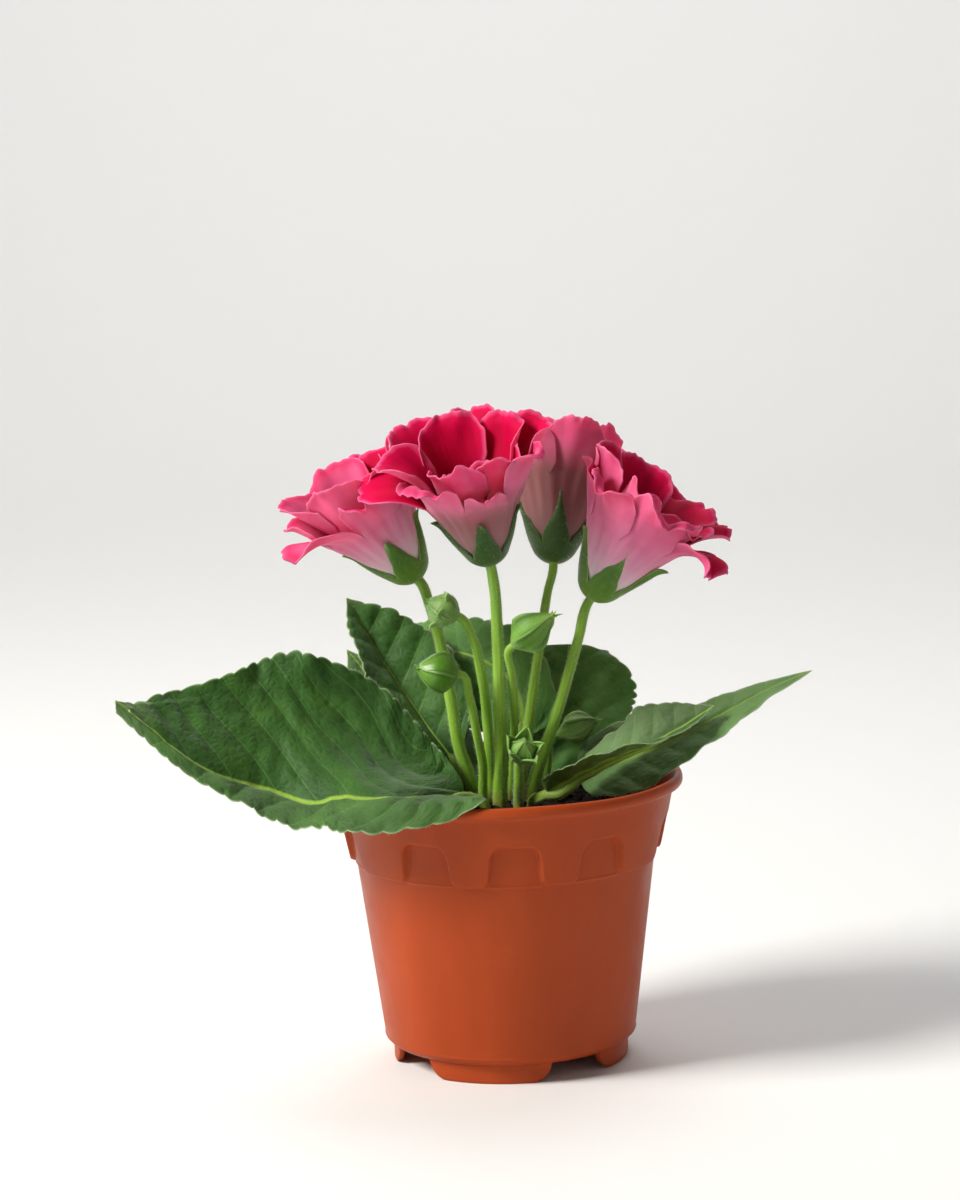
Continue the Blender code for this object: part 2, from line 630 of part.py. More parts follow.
BLOOMS = {
    # Left bloom, leaning left and open to the upper left
    "bloom_1": dict(
        base=(-26.5, 7, 161.6), axis=(-0.56, -0.10, 0.81), roll=0,
        outer=[(20, 36, 0), (22, 34, 4), (21, 66, 0), (22, 118, 0), (17, 92, -4), (15, 70, 0)],
        inner=[(18, 44, 8), (19, 26, -6), (18, 30, 6), (15, 50, 0), (15, 36, -8)]),
    # Middle bloom, upright and leaning a little left and forward
    "bloom_2": dict(
        base=(-2.4, -14.5, 169.2), axis=(-0.18, -0.28, 0.94), roll=0,
        outer=[(23, 52, 0), (25, 30, 6), (24, 54, 0), (20, 110, 0), (17, 84, -4), (18, 98, 0)],
        inner=[(20, 24, 8), (21, 20, -6), (21, 40, 6), (15, 44, 0), (15, 30, -8)]),
    # The bloom behind, open away from the viewer
    "bloom_3": dict(
        base=(19, 19, 164.2), axis=(0.10, 0.42, 0.90), roll=0,
        outer=[(20, 58, 0), (20, 80, 4), (20, 62, 0), (21, 36, -4), (22, 22, 0), (20, 50, 3)],
        inner=[(17, 40, 8), (18, 28, -6), (18, 30, 6), (18, 24, 0), (19, 28, -8)]),
    # Right bloom, leaning right
    "bloom_4": dict(
        base=(30.4, -7, 155.4), axis=(0.52, -0.08, 0.85), roll=0,
        outer=[(22, 82, 0), (24, 30, 4), (22, 30, 0), (18, 70, -4), (19, 88, 0), (24, 128, 3)],
        inner=[(19, 44, 8), (22, 24, -6), (20, 30, 6), (15, 50, 0), (17, 60, -8)]),
}
STALKS = {
    "stalk_1": dict(
        path=[(-9.5, 1.5), (-11.4, 2, 95), (-14.4, 2, 104.5), (-16.4, 2.4, 118), (-18.2, 2.8, 130),
              (-20.6, 4.2, 144), (-23.4, 6, 154.5)], foot=2.4, top=1.9,
        sepals=[(13, 24, 0), (12, 26, 0), (14, 20, 0), (12, 34, 0), (12, 24, 0)]),
    "stalk_2": dict(
        path=[(-1.5, -7), (-0.8, -8.5, 105), (-0.6, -10.5, 127), (-0.8, -12.4, 150),
              (-1.3, -13.6, 162)], foot=2.6, top=1.7,
        sepals=[(13, 34, 0), (12, 38, 0), (13, 28, 0), (13, 32, 0), (12, 26, 0)]),
    "stalk_3": dict(
        path=[(5.8, 5.2), (7.4, 7.5, 102), (9.8, 10.5, 116), (13, 14.5, 134), (17.2, 18, 156)], foot=2.4,
        top=1.6, sepals=[(16, 24, 0), (14, 34, 0), (13, 30, 0), (16, 22, 0), (13, 38, 0)]),
    "stalk_4": dict(
        path=[(8.4, -3.5), (10.2, -3.8, 94), (13.6, -4.4, 104), (18.3, -5.4, 117), (22.6, -6.2, 130.5),
              (26.6, -7, 144)], foot=2.5, top=1.8,
        sepals=[(14, 24, 0), (12, 62, 0), (13, 28, 0), (14, 20, 0), (14, 34, 0)]),
}
CALYX_LINE = [(0, 0), (0.5, 3.4), (2.4, 6.8), (5.5, 9.2), (9, 10.8)]
OUTER_LINE = [(2.4, 0), (2.8, 3.0), (5, 5.8), (9, 8.7), (14, 11.0), (20, 13.4), (25, 16.0)]
INNER_LINE = [(5.2, 0), (5.6, 2.6), (9, 5.4), (15, 8.2), (22, 10.6), (28, 13.2)]


def make_bloom(name, bloom, parts, outside, inside):
    """Two rings of petals on one short core."""
    matrix = aim(bloom["base"], bloom["axis"], bloom["roll"])
    cups = []
    rings = (("outer", OUTER_LINE, 4, name), ("inner", INNER_LINE, 3, name + "_inner"))
    for key, line, rows, label in rings:
        verts, faces = whorl(bloom[key], 3, line, 2, rows)
        cup = mesh_object(label, placed(verts, matrix), faces, outside, parts)
        cup.data.materials.append(inside)
        outward(cup, matrix @ Vector((0, 0, line[0][0] + 12)))
        thicken(cup, PETAL_THICKNESS, 1)
        apply_modifiers(cup)
        cups.append(cup)
    line = np.array([matrix @ Vector((0, 0, z)) for z in (2.9, 7.4)])
    verts, faces = tube(line, (1.9, 1.9), 8)
    core = mesh_object(name + "_core", verts, faces, inside, parts)
    fuse(cups[0], [cups[1], core])
    return cups[0]


def make_stalk(name, stalk, bloom, parts, green):
    """A flower stem fused with the cup of five sepals at its top."""
    matrix = aim(bloom["base"], bloom["axis"], bloom["roll"] + 20)
    axis = np.array(Vector(bloom["axis"]).normalized())
    base = np.array(bloom["base"], float)
    path = smooth_path(rooted(stalk["path"]) + [tuple(base - axis * 2.5), tuple(base + axis * 1.5)], 10)
    s = np.linspace(0, 1, len(path))
    radii = stalk["foot"] + (stalk["top"] - stalk["foot"]) * s ** 0.8
    verts, faces = tube(path, radii, 7)
    stem = mesh_object(name + "_stem", verts, faces, green, parts)
    verts, faces = whorl(stalk["sepals"], 2, CALYX_LINE, 2, 3, pointed=True, keep=0.94, ruffle=0.0,
                         rounding=0.25)
    cup = mesh_object(name, placed(verts, matrix), faces, green, parts)
    outward(cup, matrix @ Vector((0, 0, 8)))
    thicken(cup, SEPAL_THICKNESS)
    apply_modifiers(cup)
    fuse(cup, [stem])
    return stalk["path"][0] + (stalk["foot"],)


# Buds

BUDS = {
    # Pale bud in front of the left stalk, seen from behind
    "bud_1": dict(path=[(-4.2, -0.5), (-4.4, -2, 104), (-5.2, -4.5, 120), (-6.6, -7.5, 133),
                        (-8.8, -9.6, 143.5), (-12.6, -11.4, 151)],
                  axis=(-0.80, 0.0, 0.42), length=12, radius=6.2, ridge=0.10, tips=1.5, stem=1.6),
    # Round bud pointing left
    "bud_2": dict(path=[(-7.2, -5), (-6.9, -8.5, 101), (-8.6, -12, 113), (-10.6, -15, 124),
                        (-12.8, -17, 131)],
                  axis=(-0.93, -0.30, 0.22), length=16, radius=8.0, ridge=0.06, tips=1.2, stem=1.6),
    # Angular bud pointing right
    "bud_3": dict(path=[(2.8, -1.0), (3.8, -3.5, 108), (4.2, -7.5, 122), (3.6, -12, 133),
                        (3.2, -15.0, 141)],
                  axis=(0.76, -0.25, 0.60), length=19, radius=7.0, ridge=0.22, tips=3.0, stem=1.5),
    # Small opening bud low in front
    "bud_4": dict(path=[(4.6, -14), (5.2, -17.4, 95), (6.2, -19.5, 102.5)],
                  axis=(0.30, -0.62, 0.72), length=9.5, radius=5.6, ridge=0.24, tips=2.8, stem=1.8),
    # Low bud half behind the right stalk
    "bud_5": dict(path=[(14, 8), (15.0, 7.6, 97), (17.6, 6.8, 107)],
                  axis=(0.88, -0.15, 0.42), length=13, radius=5.6, ridge=0.24, tips=2.4, stem=1.5),
}
# Place along a bud, and its radius, from where the stem meets it to the parted sepal tips.
BUD_LINE = ((0.06, 0.55), (0.22, 0.86), (0.42, 1.0), (0.62, 0.92), (0.80, 0.62), (0.92, 0.36))


def make_bud(name, bud, parts, green):
    """A stem that swells into a closed five-ridged bud."""
    axis = unit(bud["axis"])
    neck = np.array(bud["path"][-1], float)
    path = smooth_path(rooted(bud["path"]) + [tuple(neck + axis * 2.2)], 7)
    start = path[-1]
    ends = [start + axis * bud["length"] * t for t, r in BUD_LINE]
    whole = np.vstack([path, ends])
    tangent, side, other = turned_frames(whole, (1.0, 0.2, 0.0))
    turn = np.arange(10) * math.pi / 5
    rings = []
    for i, p in enumerate(path):
        r = bud["stem"] * (1 - 0.15 * i / len(path))
        rings.append([p + r * (math.cos(t) * side[i] + math.sin(t) * other[i]) for t in turn])
    a, b = side[-1], np.cross(axis, side[-1])
    a = unit(a - axis * np.dot(a, axis))
    b = np.cross(axis, a)
    for p, (t, r) in zip(ends, BUD_LINE):
        ring = []
        for j, angle in enumerate(turn):
            grow = 1 + bud["ridge"] * (1 if j % 2 == 0 else -1) * min(1.0, 2.2 * t)
            ring.append(p + bud["radius"] * r * grow * (math.cos(angle) * a + math.sin(angle) * b))
        rings.append(ring)
    top = start + axis * bud["length"]
    ring = []
    for j, angle in enumerate(turn):
        out = (0.30 * bud["radius"] + bud["tips"] * 0.4) if j % 2 == 0 else 0.14 * bud["radius"]
        rise = bud["tips"] if j % 2 == 0 else 0.0
        ring.append(top + axis * rise + out * (math.cos(angle) * a + math.sin(angle) * b))
    rings.append(ring)
    verts, faces = loft(rings)
    mesh_object(name, verts, faces, green, parts)
    return bud["path"][0] + (bud["stem"],)


def center_everything(parts):
    """Move all the parts so that their box stands on the world's origin."""
    bpy.context.view_layer.update()
    graph = bpy.context.evaluated_depsgraph_get()
    low, high = np.full(3, 1e9), np.full(3, -1e9)
    for thing in parts.objects:
        if thing.type != "MESH":
            continue
        evaluated = thing.evaluated_get(graph)
        mesh = evaluated.to_mesh()
        points = np.empty(len(mesh.vertices) * 3)
        mesh.vertices.foreach_get("co", points)
        points = points.reshape(-1, 3)
        low, high = np.minimum(low, points.min(0)), np.maximum(high, points.max(0))
        evaluated.to_mesh_clear()
    shift = Vector((-(low[0] + high[0]) / 2, -(low[1] + high[1]) / 2, -low[2]))
    root = bpy.data.objects.new("placing", None)
    parts.objects.link(root)
    for thing in list(bpy.data.objects):
        if thing.type == "MESH":
            thing.parent = root
    root.location = shift
    size = high - low
    print("size in mm", [round(1000 * float(v), 1) for v in size], "pot axis at",
          [round(1000 * float(v), 2) for v in shift])


def main():
    clear_scene()
    parts = new_collection(NAME)
    cutters = new_collection(NAME + "_cutters", hidden=True)
    plastic = material("terracotta_plastic", (0.42, 0.085, 0.03), 0.45)
    earth = material("potting_soil", (0.012, 0.008, 0.006), 0.95)
    leaf_green = material("leaf_green", (0.035, 0.11, 0.025), 0.55)
    stem_green = material("stem_green", (0.18, 0.36, 0.04), 0.5)
    outside = material("petal_outside", (0.72, 0.22, 0.36), 0.6)
    inside = material("petal_inside", (0.45, 0.0, 0.03), 0.6)
    make_pot(parts, cutters, plastic)
    stems = []
    for name, leaf in LEAVES.items():
        stems.append(make_leaf(name, leaf, parts, leaf_green))
    for name, bloom in BLOOMS.items():
        make_bloom(name, bloom, parts, outside, inside)
        stalk = name.replace("bloom", "stalk")
        stems.append(make_stalk(stalk, STALKS[stalk], bloom, parts, stem_green))
    for name, bud in BUDS.items():
        stems.append(make_bud(name, bud, parts, stem_green))
    make_soil(parts, cutters, earth, stems)
    center_everything(parts)


main()
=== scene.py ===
# Potted gloxinia: the looks of the plant, its blooms and its nursery pot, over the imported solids.
# Every shape is worked out in millimetres from the pot's axis and the floor, and put in place at the end.
import bpy
import math
import numpy as np
from mathutils import Matrix, Vector
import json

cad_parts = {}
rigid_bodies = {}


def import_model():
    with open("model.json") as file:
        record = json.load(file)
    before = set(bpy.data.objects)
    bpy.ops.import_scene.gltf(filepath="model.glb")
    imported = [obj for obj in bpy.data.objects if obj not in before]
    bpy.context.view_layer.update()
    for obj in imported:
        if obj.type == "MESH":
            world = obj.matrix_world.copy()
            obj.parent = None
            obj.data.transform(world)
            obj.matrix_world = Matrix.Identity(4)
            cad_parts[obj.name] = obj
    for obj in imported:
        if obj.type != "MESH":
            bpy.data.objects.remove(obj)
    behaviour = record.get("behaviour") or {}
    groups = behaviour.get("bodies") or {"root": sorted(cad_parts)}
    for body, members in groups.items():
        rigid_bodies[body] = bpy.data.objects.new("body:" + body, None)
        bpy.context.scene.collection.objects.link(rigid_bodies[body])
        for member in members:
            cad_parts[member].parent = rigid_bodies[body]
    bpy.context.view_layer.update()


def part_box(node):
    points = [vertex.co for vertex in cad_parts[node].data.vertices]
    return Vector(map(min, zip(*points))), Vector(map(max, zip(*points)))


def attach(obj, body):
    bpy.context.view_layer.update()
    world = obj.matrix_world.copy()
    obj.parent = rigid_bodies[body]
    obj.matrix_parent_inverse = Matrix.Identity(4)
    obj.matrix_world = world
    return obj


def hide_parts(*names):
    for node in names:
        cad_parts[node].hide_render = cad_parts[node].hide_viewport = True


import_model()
scene = bpy.context.scene
potLow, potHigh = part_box("pot")
potAxis = np.array([(potLow[0] + potHigh[0]) / 2, (potLow[1] + potHigh[1]) / 2, potLow[2]])
print("frame loaded, pot axis", potAxis)


# Small numpy tools

def unit(v):
    # Vectors divided by their own length
    return v / np.maximum(np.linalg.norm(v, axis=-1, keepdims=True), 1e-9)


def smoothStep(x, low, high):
    # Rises from 0 at low to 1 at high, level at both
    t = np.clip((x - low) / (high - low), 0, 1)
    return t * t * (3 - 2 * t)


def cubic(t, first, last, leaving, arriving):
    # The cubic from first to last as t goes from 0 to 1, with its slopes at both ends
    return ((1 + 2 * t) * (1 - t) ** 2 * first + t * (1 - t) ** 2 * leaving
            + t * t * (3 - 2 * t) * last + t * t * (t - 1) * arriving)


def pathRun(points):
    # Length along a path up to each of its points
    return np.concatenate([[0], np.cumsum(np.linalg.norm(np.diff(points, axis=0), axis=1))])


def throughCurve(values, knots, at):
    # A smooth curve through the values at their knots: cubics whose slopes are averaged from both sides
    values, knots, at = np.asarray(values, float), np.asarray(knots, float), np.asarray(at, float)
    shape = (-1,) + (1,) * (values.ndim - 1)
    gap = np.diff(knots).reshape(shape)
    slope = np.diff(values, axis=0) / gap
    inner = (slope[:-1] * gap[1:] + slope[1:] * gap[:-1]) / (gap[:-1] + gap[1:])
    slope = np.concatenate([slope[:1], inner, slope[-1:]])
    i = np.clip(np.searchsorted(knots, at, side="right") - 1, 0, len(knots) - 2)
    t = (at - knots[i]).reshape(shape) / gap[i]
    return cubic(t, values[i], values[i + 1], slope[i] * gap[i], slope[i + 1] * gap[i])


def evenPath(points, count):
    # Points evenly spaced along a smooth curve through the given ones
    points = np.array(points, float)
    knots = pathRun(points)
    fine = throughCurve(points, knots, np.linspace(0, knots[-1], 40 * len(points)))
    run = pathRun(fine)
    at = np.linspace(0, run[-1], count)
    return np.stack([np.interp(at, run, fine[:, k]) for k in range(3)], 1)


def softNoise(place, pitch, seed, waves=14):
    # Soft noise between about -1 and 1: sine waves near one pitch, in scattered directions
    rng = np.random.default_rng(seed)
    way = unit(rng.normal(size=(waves, place.shape[-1]))) * rng.uniform(0.7, 1.5, (waves, 1))
    phase = rng.uniform(0, 2 * math.pi, waves)
    return np.sin(place @ way.T * (2 * math.pi / pitch) + phase).sum(-1) / math.sqrt(waves)


def carriedFrames(path, first):
    # Two directions square to a path and to each other at each of its points, carried along without twist
    tangent = unit(np.gradient(path, axis=0))
    side = [unit(np.array(first, float) - tangent[0] * np.dot(first, tangent[0]))]
    for i in range(1, len(path)):
        side.append(unit(side[-1] - tangent[i] * np.dot(side[-1], tangent[i])))
    side = np.array(side)
    return side, np.cross(tangent, side)


def gridFaces(rows, cols, wrap=False, start=0):
    # Quads of a grid of points, counted row by row; they face across-direction x along-direction
    i, j = np.meshgrid(np.arange(rows - 1) * cols, np.arange(cols if wrap else cols - 1), indexing="ij")
    k = (j + 1) % cols
    return start + np.stack([i + j, i + k, i + cols + k, i + cols + j], -1).reshape(-1, 4)


# Shells and pieces

def shell(points, faces, **marks):
    # A surface: points in mm, (faces, finish number) pairs, and named values at the points for the materials
    return dict(points=np.asarray(points, float), faces=faces, marks=marks)


def closedTube(rings, ends=(True, True), **marks):
    # Rings of points joined by quads, each end closed by a fan on its middle point
    rows, cols = rings.shape[:2]
    faces = [(gridFaces(rows, cols, True), 0)]
    j = np.arange(cols)
    k = (j + 1) % cols
    middle = np.full(cols, rows * cols)
    last = (rows - 1) * cols
    if ends[0]:
        faces.append((np.stack([k, j, middle], 1), 0))
    if ends[1]:
        faces.append((np.stack([last + j, last + k, middle + ends[0]], 1), 0))

    def closed(value):
        value = value.reshape(rows, cols, -1)
        return np.concatenate([value.reshape(rows * cols, -1)] + [value[:1].mean(1)] * ends[0]
                              + [value[-1:].mean(1)] * ends[1])

    return shell(closed(rings), faces, **{name: closed(value) for name, value in marks.items()})


def thicken(sheet, thickness, back=1):
    # A closed shell: the sheet, a copy moved in along its normals, and a band joining their free edges
    points = sheet["points"]
    count = len(points)
    normal = np.zeros_like(points)
    edges, faces = [], []
    for quads, finish in sheet["faces"]:
        a, b, c, d = points[quads[:, 0]], points[quads[:, 1]], points[quads[:, 2]], points[quads[:, -1]]
        face = np.cross(c - a, d - b) if quads.shape[1] == 4 else np.cross(b - a, c - a)
        for k in range(quads.shape[1]):
            np.add.at(normal, quads[:, k], face)
            edges.append(np.stack([quads[:, k], quads[:, (k + 1) % quads.shape[1]]], 1))
        faces.append((quads, finish))
        faces.append((quads[:, ::-1] + count, finish + back))
    normal = unit(normal)
    edges = np.concatenate(edges)
    loose = edges[~np.isin(edges[:, 0] * count + edges[:, 1], edges[:, 1] * count + edges[:, 0])]
    faces.append((np.stack([loose[:, 1], loose[:, 0], loose[:, 0] + count, loose[:, 1] + count], 1), back))
    depth = np.broadcast_to(np.asarray(thickness, float).reshape(-1, 1), (count, 1))
    marks = {name: np.concatenate([value, value]) for name, value in sheet["marks"].items()}
    return shell(np.concatenate([points, points - normal * depth]), faces, **marks)


def hairs(feet, way, length, width, seed):
    # Thin four-faced spikes: a three-cornered foot sunk at each point, and a tip along its way
    rng = np.random.default_rng(seed)
    count = len(feet)
    way = unit(way)
    across = unit(np.cross(way, rng.normal(size=(count, 3))))
    other = np.cross(way, across)
    turn = np.arange(3) * 2 * math.pi / 3
    foot = feet - way * hairLook["sunk"]
    ring = [foot + width * (math.cos(t) * across + math.sin(t) * other) for t in turn]
    tip = feet + way * np.asarray(length).reshape(-1, 1)
    points = np.stack(ring + [tip], 1).reshape(-1, 3)
    base = np.arange(count)[:, None, None] * 4
    faces = (base + np.array([[2, 1, 0], [0, 1, 3], [1, 2, 3], [2, 0, 3]])).reshape(-1, 3)
    return shell(points, [(faces, 0)])


def recolored(part, finish):
    # The same shell, all of its faces in one finish
    part["faces"] = [(quads, finish) for quads, old in part["faces"]]
    return part


def addPiece(name, shells, materials, nodes):
    # One object from its shells, placed in metres, riding on the body and standing for its CAD nodes
    points = np.concatenate([s["points"] for s in shells]) * 0.001 + potAxis
    names = {key: value.shape[1] for s in shells for key, value in s["marks"].items()}
    offset, loops, sizes, slots = 0, [], [], []
    for s in shells:
        for quads, finish in s["faces"]:
            loops.append((quads + offset).ravel())
            sizes.append(np.full(len(quads), quads.shape[1]))
            slots.append(np.full(len(quads), finish))
        offset += len(s["points"])
    loops, sizes = np.concatenate(loops), np.concatenate(sizes)
    mesh = bpy.data.meshes.new(name)
    mesh.vertices.add(len(points))
    mesh.vertices.foreach_set("co", points.ravel())
    mesh.loops.add(len(loops))
    mesh.loops.foreach_set("vertex_index", loops.astype(np.int32))
    mesh.polygons.add(len(sizes))
    mesh.polygons.foreach_set("loop_start", (np.cumsum(sizes) - sizes).astype(np.int32))
    mesh.update(calc_edges=True)
    mesh.polygons.foreach_set("material_index", np.concatenate(slots).astype(np.int32))
    mesh.polygons.foreach_set("use_smooth", np.ones(len(sizes), bool))
    for key, width in names.items():
        whole = [s["marks"].get(key, np.zeros((len(s["points"]), width))) for s in shells]
        kind = "FLOAT_VECTOR" if width == 3 else "FLOAT"
        layer = mesh.attributes.new(key, kind, "POINT")
        layer.data.foreach_set("vector" if width == 3 else "value", np.concatenate(whole).ravel())
    for made in materials:
        mesh.materials.append(made)
    piece = bpy.data.objects.new(name, mesh)
    scene.collection.objects.link(piece)
    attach(piece, "root")
    if nodes:
        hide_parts(*nodes)
    print("piece", name, "triangles", int((sizes - 2).sum()))
    return piece


# Materials

def linear(hexColor):
    # An sRGB hex colour as linear red, green, blue and alpha
    parts = [int(hexColor[i:i + 2], 16) / 255 for i in (1, 3, 5)]
    return tuple(c / 12.92 if c <= 0.04045 else ((c + 0.055) / 1.055) ** 2.4 for c in parts) + (1.0,)


def addNode(made, kind, inputs, **settings):
    # Adds a node with its settings, links or fills its inputs, and gives its outputs
    node = made.node_tree.nodes.new("ShaderNode" + kind)
    stops = settings.pop("stops", ())
    for stop in stops[2:]:
        node.color_ramp.elements.new(1.0)
    for element, (place, color) in zip(node.color_ramp.elements if stops else (), stops):
        element.position = place
        element.color = linear(color)
    for key, value in settings.items():
        setattr(node, key, value)
    for key, value in inputs.items():
        if isinstance(value, bpy.types.NodeSocket):
            made.node_tree.links.new(value, node.inputs[key])
        else:
            node.inputs[key].default_value = linear(value) if isinstance(value, str) else value
    return node.outputs


def newMaterial(name, look, marks=()):
    # A material with its shader's own values, and the vectors of the named marks that it reads
    made = bpy.data.materials.new(name)
    made.use_nodes = True
    for key, value in look.items():
        value = linear(value) if isinstance(value, str) else value
        made.node_tree.nodes["Principled BSDF"].inputs[key].default_value = value
    return made, *(addNode(made, "Attribute", {}, attribute_name=mark)["Vector"] for mark in marks)


def paintOver(made, color, layers):
    # Each layer lays its colour over the last; its share goes from first to last as its mark goes low to high
    for mark, low, high, first, last, over in layers:
        share = addNode(made, "MapRange", {0: mark, 1: low, 2: high, 3: first, 4: last})[0]
        color = addNode(made, "Mix", {0: share, 6: color, 7: over}, data_type="RGBA")[2]
    return color


def finishSkin(made, color, height, strength, distance, **more):
    # Joins the colour and the bumps, the height times the distance in metres, to the shader
    bump = addNode(made, "Bump", {"Strength": strength, "Distance": distance, "Height": height})[0]
    for key, source in {"Base Color": color, "Normal": bump, **more}.items():
        made.node_tree.links.new(source, made.node_tree.nodes["Principled BSDF"].inputs[key])
    return made


def petalMaterial(name, outer):
    # Living petal, grown thin and velvety: soft sheen, light passes through it, a pale frilled margin, and
    # painted shade low on blooms that stand behind others
    look = {"Roughness": 0.66, "IOR": 1.4, "Subsurface Weight": 0.55, "Subsurface Radius": (1.0, 0.45, 0.50),
            "Subsurface Scale": 0.0030, "Specular IOR Level": 0.25, "Sheen Weight": 0.10,
            "Sheen Roughness": 0.45, "Sheen Tint": "#FFD0DC"}
    if not outer:
        look.update({"Subsurface Weight": 0.15, "Subsurface Radius": (1.0, 0.05, 0.10),
                     "Subsurface Scale": 0.0016, "Specular IOR Level": 0.10, "Sheen Weight": 0.0})
    made, lobe, grain, shadow = newMaterial(name, look, ("lobe", "streak", "dusk"))
    along, margin, flush = addNode(made, "SeparateXYZ", {0: lobe})
    dusk = addNode(made, "SeparateXYZ", {0: shadow})[0]
    place = addNode(made, "TexCoord", {})["Object"]
    streak = addNode(made, "TexNoise", {"Vector": grain, "Scale": 1.0, "Detail": 3.0, "Roughness": 0.6})[0]
    mottle = addNode(made, "TexNoise", {"Vector": place, "Scale": 160.0, "Detail": 3.0})[0]
    grown = addNode(made, "MapRange", {0: along, 1: 12.0, 2: 34.0})[0]
    rosy = addNode(made, "Math", {0: flush, 1: grown}, operation="MULTIPLY")[0]
    if outer:
        start, tones = 0.0, ((0.0, "#EEE4CE"), (0.22, "#F6D8DE"), (0.45, "#F2A2BB"), (0.70, "#EC7299"),
                             (1.0, "#DC4E7A"))
        # The last layer, dusky brown, is painted shade over the lower part of a shaded bloom
        layers = ((rosy, 0.0, 1.0, 0.0, 1.0, "#DA4478"), (flush, 1.0, 2.0, 0.0, 1.0, "#A80032"),
                  (streak, 0.42, 0.75, 0.0, 0.28, "#C65A80"), (mottle, 0.45, 0.7, 0.0, 0.10, "#F2AEC2"),
                  (margin, 0.1, 1.4, 0.35, 0.0, "#EA8CAA"), (dusk, 0.0, 1.0, 0.0, 1.0, "#7C5650"))
    else:
        start, tones = 8.0, ((0.0, "#2C000C"), (0.30, "#78001E"), (0.60, "#AE0030"), (1.0, "#C80040"))
        layers = ((streak, 0.45, 0.8, 0.0, 0.4, "#840024"), (flush, 0.0, -1.0, 0.0, 1.0, "#E0608E"),
                  (margin, 1.2, 5.0, 0.8, 0.0, "#CA0C4C"), (margin, 0.2, 2.0, 0.85, 0.0, "#DE5A88"),
                  (margin, 0.1, 0.5, 0.25, 0.0, "#E887A8"))
    tone = addNode(made, "MapRange", {0: along, 1: start, 2: 46.0})[0]
    color = addNode(made, "ValToRGB", {0: tone}, stops=tones)[0]
    return finishSkin(made, paintOver(made, color, layers), streak, 0.35, 0.0004)


def stemMaterial(name, tones, roughness=0.48):
    # Fleshy young stem: translucent yellow-green, faintly fluted along its length, with a soft skin sheen
    look = {"Roughness": roughness, "IOR": 1.4, "Subsurface Weight": 0.30, "Subsurface Scale": 0.0020,
            "Subsurface Radius": (0.6, 1.0, 0.2), "Specular IOR Level": 0.4, "Sheen Weight": 0.25,
            "Sheen Roughness": 0.5, "Sheen Tint": "#E8F4D8"}
    made, stem, grain = newMaterial(name, look, ("stem", "streak"))
    along, pale, dark = addNode(made, "SeparateXYZ", {0: stem})
    streak = addNode(made, "TexNoise", {"Vector": grain, "Scale": 1.0})[0]
    color = addNode(made, "ValToRGB", {0: along}, stops=tones)[0]
    # The dark layer paints shade into bud creases and over the calyx of a shaded bloom, and darkens the sepal
    # keels
    color = paintOver(made, color, ((streak, 0.4, 0.7, 0.0, 0.45, "#4E7A1E"),
                                    (pale, 0.0, 1.0, 0.0, 0.7, "#A9C878"),
                                    (dark, 0.0, 1.0, 0.0, 1.0, "#24441A")))
    return finishSkin(made, color, streak, 0.3, 0.0003)


upperSide = dict(net=(0.14, "#4A7A3A"), veins=(0.5, "#5C8C42"), ribs=(0.55, 1.25, 0.95, 0.0, "#8FB43C"))
underSide = dict(net=(0.35, "#86A86C"), veins=(0.8, "#9CB980"), ribs=(0.8, 1.6, 0.9, 0.0, "#A9C46A"))


def leafMaterial(name, tones, side=upperSide):
    # Gloxinia leaf, thick and covered in fine short hairs: velvety sheen, pale veins, a fuzzy light edge, and
    # a pale grey-green tint of painted sheen where asked
    look = {"Roughness": 0.58, "IOR": 1.4, "Subsurface Weight": 0.10, "Subsurface Radius": (0.4, 1.0, 0.2),
            "Subsurface Scale": 0.0012, "Specular IOR Level": 0.30, "Sheen Weight": 0.20,
            "Sheen Roughness": 0.45, "Sheen Tint": "#D4E4D0"}
    made, blade, vein = newMaterial(name, look, ("blade", "vein"))
    frost = addNode(made, "Attribute", {}, attribute_name="frost")["Fac"]
    edge = addNode(made, "SeparateXYZ", {0: blade})[2]
    turn, pitch, rib = addNode(made, "SeparateXYZ", {0: vein})
    near = addNode(made, "Math", {0: turn, 1: 0.5}, operation="PINGPONG")[0]
    away = addNode(made, "Math", {0: near, 1: pitch}, operation="MULTIPLY")[0]
    cells = addNode(made, "TexVoronoi", {"Vector": blade, "Scale": 0.30, "Randomness": 0.9},
                    feature="DISTANCE_TO_EDGE")["Distance"]
    patch = addNode(made, "TexNoise", {"Vector": blade, "Scale": 0.055, "Detail": 3.0})[0]
    color = addNode(made, "ValToRGB", {0: patch}, stops=tuple(zip((0.25, 0.5, 0.75), tones)))[0]
    # The pale grey-green layer, #86A070, is painted sheen and light on the halves
    color = paintOver(made, color, (
        (cells, 0.0, 0.13, side["net"][0], 0.0, side["net"][1]),
        (away, 0.08, 0.50, side["veins"][0], 0.0, side["veins"][1]),
        (rib, *side["ribs"]), (frost, 0.0, 1.0, 0.0, 1.0, "#86A070"), (edge, 0.0, 0.7, 0.6, 0.0, "#9FB489")))
    pores = addNode(made, "TexNoise", {"Vector": blade, "Scale": 2.2})[0]
    pillow = addNode(made, "MapRange", {0: cells, 1: 0.0, 2: 0.42, 3: 0.0, 4: 0.7})[0]
    height = addNode(made, "Math", {0: pores, 1: 0.3, 2: pillow}, operation="MULTIPLY_ADD")[0]
    return finishSkin(made, color, height, 0.40, 0.0006)


def hairMaterial(name):
    # Fine plant hairs, colourless and glassy: they only lighten the outline
    return newMaterial(name, {"Base Color": "#DCE6C6", "Roughness": 0.5, "IOR": 1.4, "Subsurface Weight": 0.4,
                              "Subsurface Scale": 0.0005})[0]


